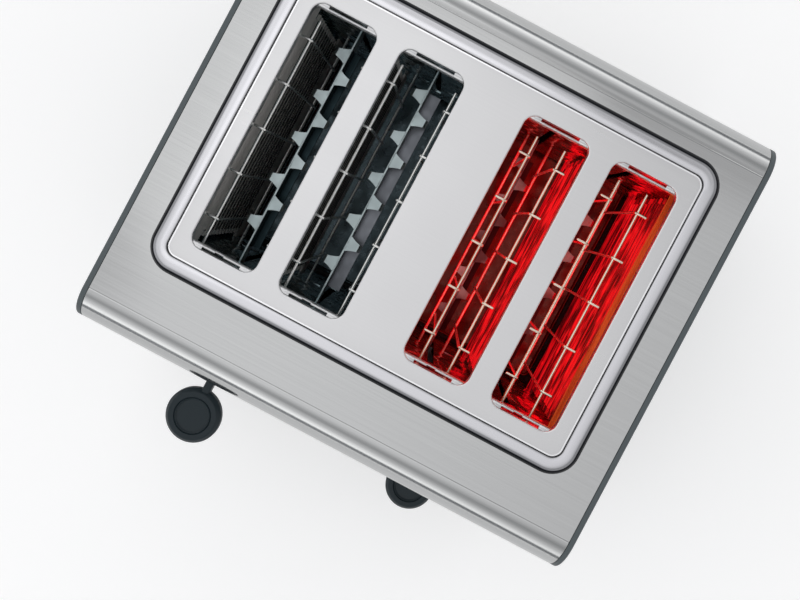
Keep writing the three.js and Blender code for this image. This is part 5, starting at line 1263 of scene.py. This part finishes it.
# Browning dials: anthracite caps with a knurled side on a wider skirt, each with a grip bar across the
# front and a printed line at the bar's upper end.
DIAL_RADIUS = 15
DIAL_CAP = 12.5
DIAL_SKIRT = 3
DIAL_GAP = 0.5
DIAL_STEM = 3
GRIP_HEIGHT = 2.5
GRIP_WIDTH = 5
GRIP_CORNER = 1.6
GRIP_EDGE = 0.7
GRIP_ROOT = 0.5
KNURLS = 40
KNURL_DEPTH = 0.45
LINE_WIDTH = 1
LINE_END = 1.6
LINE_START = 7
half_grip = DIAL_CAP - GRIP_CORNER
for side in ("left", "right"):
    name = f"{side}_browning_dial"
    low, high, middle = box_mm(name)
    x, z = middle.x, middle.z
    back_y = box_mm(f"{side}_control_panel")[0].y - DIAL_GAP
    front_y = low.y + GRIP_HEIGHT
    outline = [
        (0, front_y, 0),
        (DIAL_CAP, front_y, 1.2),
        (DIAL_CAP, back_y - DIAL_SKIRT, 0.5),
        (DIAL_RADIUS, back_y - DIAL_SKIRT * 0.6, 0.7),
        (DIAL_RADIUS, back_y, 0.4),
        (DIAL_STEM, back_y, 0),
        (DIAL_STEM, high.y, 0.4),
        (0, high.y, 0),
    ]
    bm = bmesh.new()
    turned(bm, outline, (x, 0, z), "y", KNURLS * 4)
    for vert in bm.verts:
        reach = Vector((vert.co.x - x, vert.co.z - z))
        if front_y + 0.9 < vert.co.y < back_y - DIAL_SKIRT - 0.3 and reach.length > DIAL_CAP - 0.2:
            wave = 0.5 - 0.5 * math.cos(KNURLS * math.atan2(reach.y, reach.x))
            shrink = 1 - KNURL_DEPTH * wave / DIAL_CAP
            vert.co.x = x + reach.x * shrink
            vert.co.z = z + reach.y * shrink
    grip = bmesh.new()
    grip_low = (x - GRIP_WIDTH / 2, low.y + PRINT_DEPTH, z - half_grip)
    grip_high = (x + GRIP_WIDTH / 2, front_y + GRIP_ROOT, z + half_grip)
    rounded_block(grip, grip_low, grip_high, GRIP_CORNER, "y")
    soften(grip, GRIP_EDGE, 3, 60, [e for e in grip.edges if all(v.co.y < low.y + 0.1 for v in e.verts)])
    grip_mesh = bpy.data.meshes.new("grip")
    grip.to_mesh(grip_mesh)
    grip.free()
    bm.from_mesh(grip_mesh)
    bpy.data.meshes.remove(grip_mesh)
    add_piece(f"{side}_browning_knob", bm, knob_plastic, f"{side}_dial", [name])
    bm = bmesh.new()
    line_low = (x - LINE_WIDTH / 2, low.y, z + half_grip - LINE_START)
    rounded_block(bm, line_low, (x + LINE_WIDTH / 2, low.y + 2 * PRINT_DEPTH, z + half_grip - LINE_END))
    add_piece(f"{side}_dial_line", bm, print_white, f"{side}_dial")


# Buttons: anthracite caps with a slightly crowned front, each with a clear lens over its lamp at one end
# and a stem towards its switch.
# Moulded polycarbonate: glassy with a warm tint, and rippled enough to break up its highlight.
lens_clear, tree, inputs, place = start_material("clear_lens", "#E6E0D2", Transmission_Weight=0.4)
cast = node(tree, "TexNoise", {"Vector": place, "Scale": per_mm(1.2), "Detail": 1})
node(tree, "MapRange", {"Value": cast, "To Min": 0.1, "To Max": 0.22}, inputs["Roughness"])
BUTTON_DEPTH = 7
BUTTON_EDGE = 0.8
BUTTON_STEM = 2
LENS_INSET = 3.4
LENS_RADIUS = 1.1
LENS_DEPTH = 1.5
LENS_PROUD = 0.25
for side in ("left", "right"):
    for i in range(1, BUTTON_COUNT + 1):
        name = f"{side}_button_{i}"
        low, high, middle = box_mm(name)
        front_y = low.y + LENS_PROUD
        stem_y = low.y + BUTTON_DEPTH - 1
        lens_y = low.y + LENS_DEPTH
        bm = bmesh.new()
        upright_block(bm, low, high, front_y, low.y + BUTTON_DEPTH, BUTTON_CORNER)
        front_edges = [e for e in bm.edges if all(v.co.y < front_y + 0.01 for v in e.verts)]
        soften(bm, BUTTON_EDGE, 4, 60, front_edges)
        stem = [(0, stem_y, 0), (BUTTON_STEM, stem_y, 0), (BUTTON_STEM, high.y, 0.3), (0, high.y, 0)]
        turned(bm, stem, (middle.x, 0, middle.z), "y", 24)
        add_piece(f"{side}_push_cap_{i}", bm, knob_plastic, f"{side}_push_{i}", [name])
        bm = bmesh.new()
        lens = [(0, low.y, 0), (LENS_RADIUS, low.y, 0.2), (LENS_RADIUS, lens_y, 0), (0, lens_y, 0)]
        turned(bm, lens, (low.x + LENS_INSET, 0, middle.z), "y", 24)
        add_piece(f"{side}_push_lens_{i}", bm, lens_clear, f"{side}_push_{i}")


# Crumb trays: pans of thin blued sheet that slide in under the chambers, red-brown under the hot ones:
# partly burnt, partly a painted red glow of the elements. Each has a brushed steel face plate with a lip
# at the bottom for the finger.
blued_sheet = aluminised_sheet("blued_tray_sheet", ("#3E4A4F", "#5F6C71"), (0.22, 0.38), 1.6)
# The red-brown of the pan under the hot chambers is partly burning and partly a painted red glow.
burnt_and_glow_sheet = aluminised_sheet("burnt_and_glow_tray_sheet", ("#4C2824", "#74423A"), (0.24, 0.4), 3)
TRAY_WALL = 1.2
TRAY_RIM_HEIGHT = 7
TRAY_BEND = 1.5
PAN_CORNER = 4
FACE_WALL = 3
FACE_OVERLAP = 1.5
FACE_CORNER = 1.5
FACE_EDGE = 0.35
PULL_WIDTH = 34
PULL_HEIGHT = 5
PULL_DEPTH = 1.8
PULL_CORNER = 2.5
for side, pan_sheet in (("left", blued_sheet), ("right", burnt_and_glow_sheet)):
    name = f"{side}_crumb_tray"
    low, high, middle = box_mm(name)
    face_y = high.y - FACE_WALL
    bm = bmesh.new()
    pan_low = (low.x + FACE_OVERLAP, low.y, low.z)
    pan_high = (high.x - FACE_OVERLAP, face_y + TRAY_WALL, low.z + TRAY_RIM_HEIGHT)
    rounded_block(bm, pan_low, pan_high, PAN_CORNER, "z", 5)
    lid = [f for f in bm.faces if f.normal.z > 0.9]
    bmesh.ops.delete(bm, geom=lid, context="FACES_ONLY")
    soften(bm, TRAY_BEND, 3, 60)
    bmesh.ops.recalc_face_normals(bm, faces=bm.faces)
    if min(bm.faces, key=lambda f: f.calc_center_median().z).normal.z > 0:
        bmesh.ops.reverse_faces(bm, faces=bm.faces)
    add_piece(f"{side}_tray_pan", bm, pan_sheet, f"{side}_tray", [name], TRAY_WALL, even=False)
    bm = bmesh.new()
    rounded_block(bm, (low.x, face_y, low.z), high, FACE_CORNER, "y", 4)
    pull = bmesh.new()
    pull_low = (middle.x - PULL_WIDTH / 2, high.y - PULL_DEPTH, low.z - OVERRUN)
    pull_high = (middle.x + PULL_WIDTH / 2, high.y + OVERRUN, low.z + PULL_HEIGHT)
    rounded_block(pull, pull_low, pull_high, PULL_CORNER, "y")
    bm = cut_away(bm, pull)
    soften(bm, FACE_EDGE, 3, 50)
    add_piece(f"{side}_tray_face", bm, cover_steel, f"{side}_tray", [name])


# Cord gland: a ribbed bush of black rubber in the back wall, for the mains cord to come through.
# It has a flange inside the wall, a neck in the wall's hole, and ribs that get smaller outwards.
GLAND_BORE = 3.8
GLAND_NECK = 6.2
low, high, middle = box_mm("cord_gland")
flange = (high.x - low.x) / 2
wall_y = cover_high.y
outline = [
    (GLAND_BORE, low.y, 0),
    (flange, low.y, 0.5),
    (flange, wall_y - COVER_WALL, 0),
    (GLAND_NECK, wall_y - COVER_WALL, 0),
    (GLAND_NECK, wall_y, 0),
    (flange, wall_y, 0.3),
    (flange - 0.4, wall_y + 0.9, 0.3),
    (flange - 1.2, wall_y + 1.0, 0.2),
    (flange - 1.4, wall_y + 1.7, 0.3),
    (flange - 2.2, wall_y + 1.8, 0.2),
    (flange - 2.5, high.y, 0.3),
    (GLAND_BORE + 0.6, high.y, 0.3),
    (GLAND_BORE, high.y - 0.8, 0.3),
    (GLAND_BORE, low.y, 0),
]
bm = bmesh.new()
turned(bm, outline, (middle.x, 0, middle.z), "y", 48)
add_piece("rubber_gland", bm, rubber, "housing", ["cord_gland"])
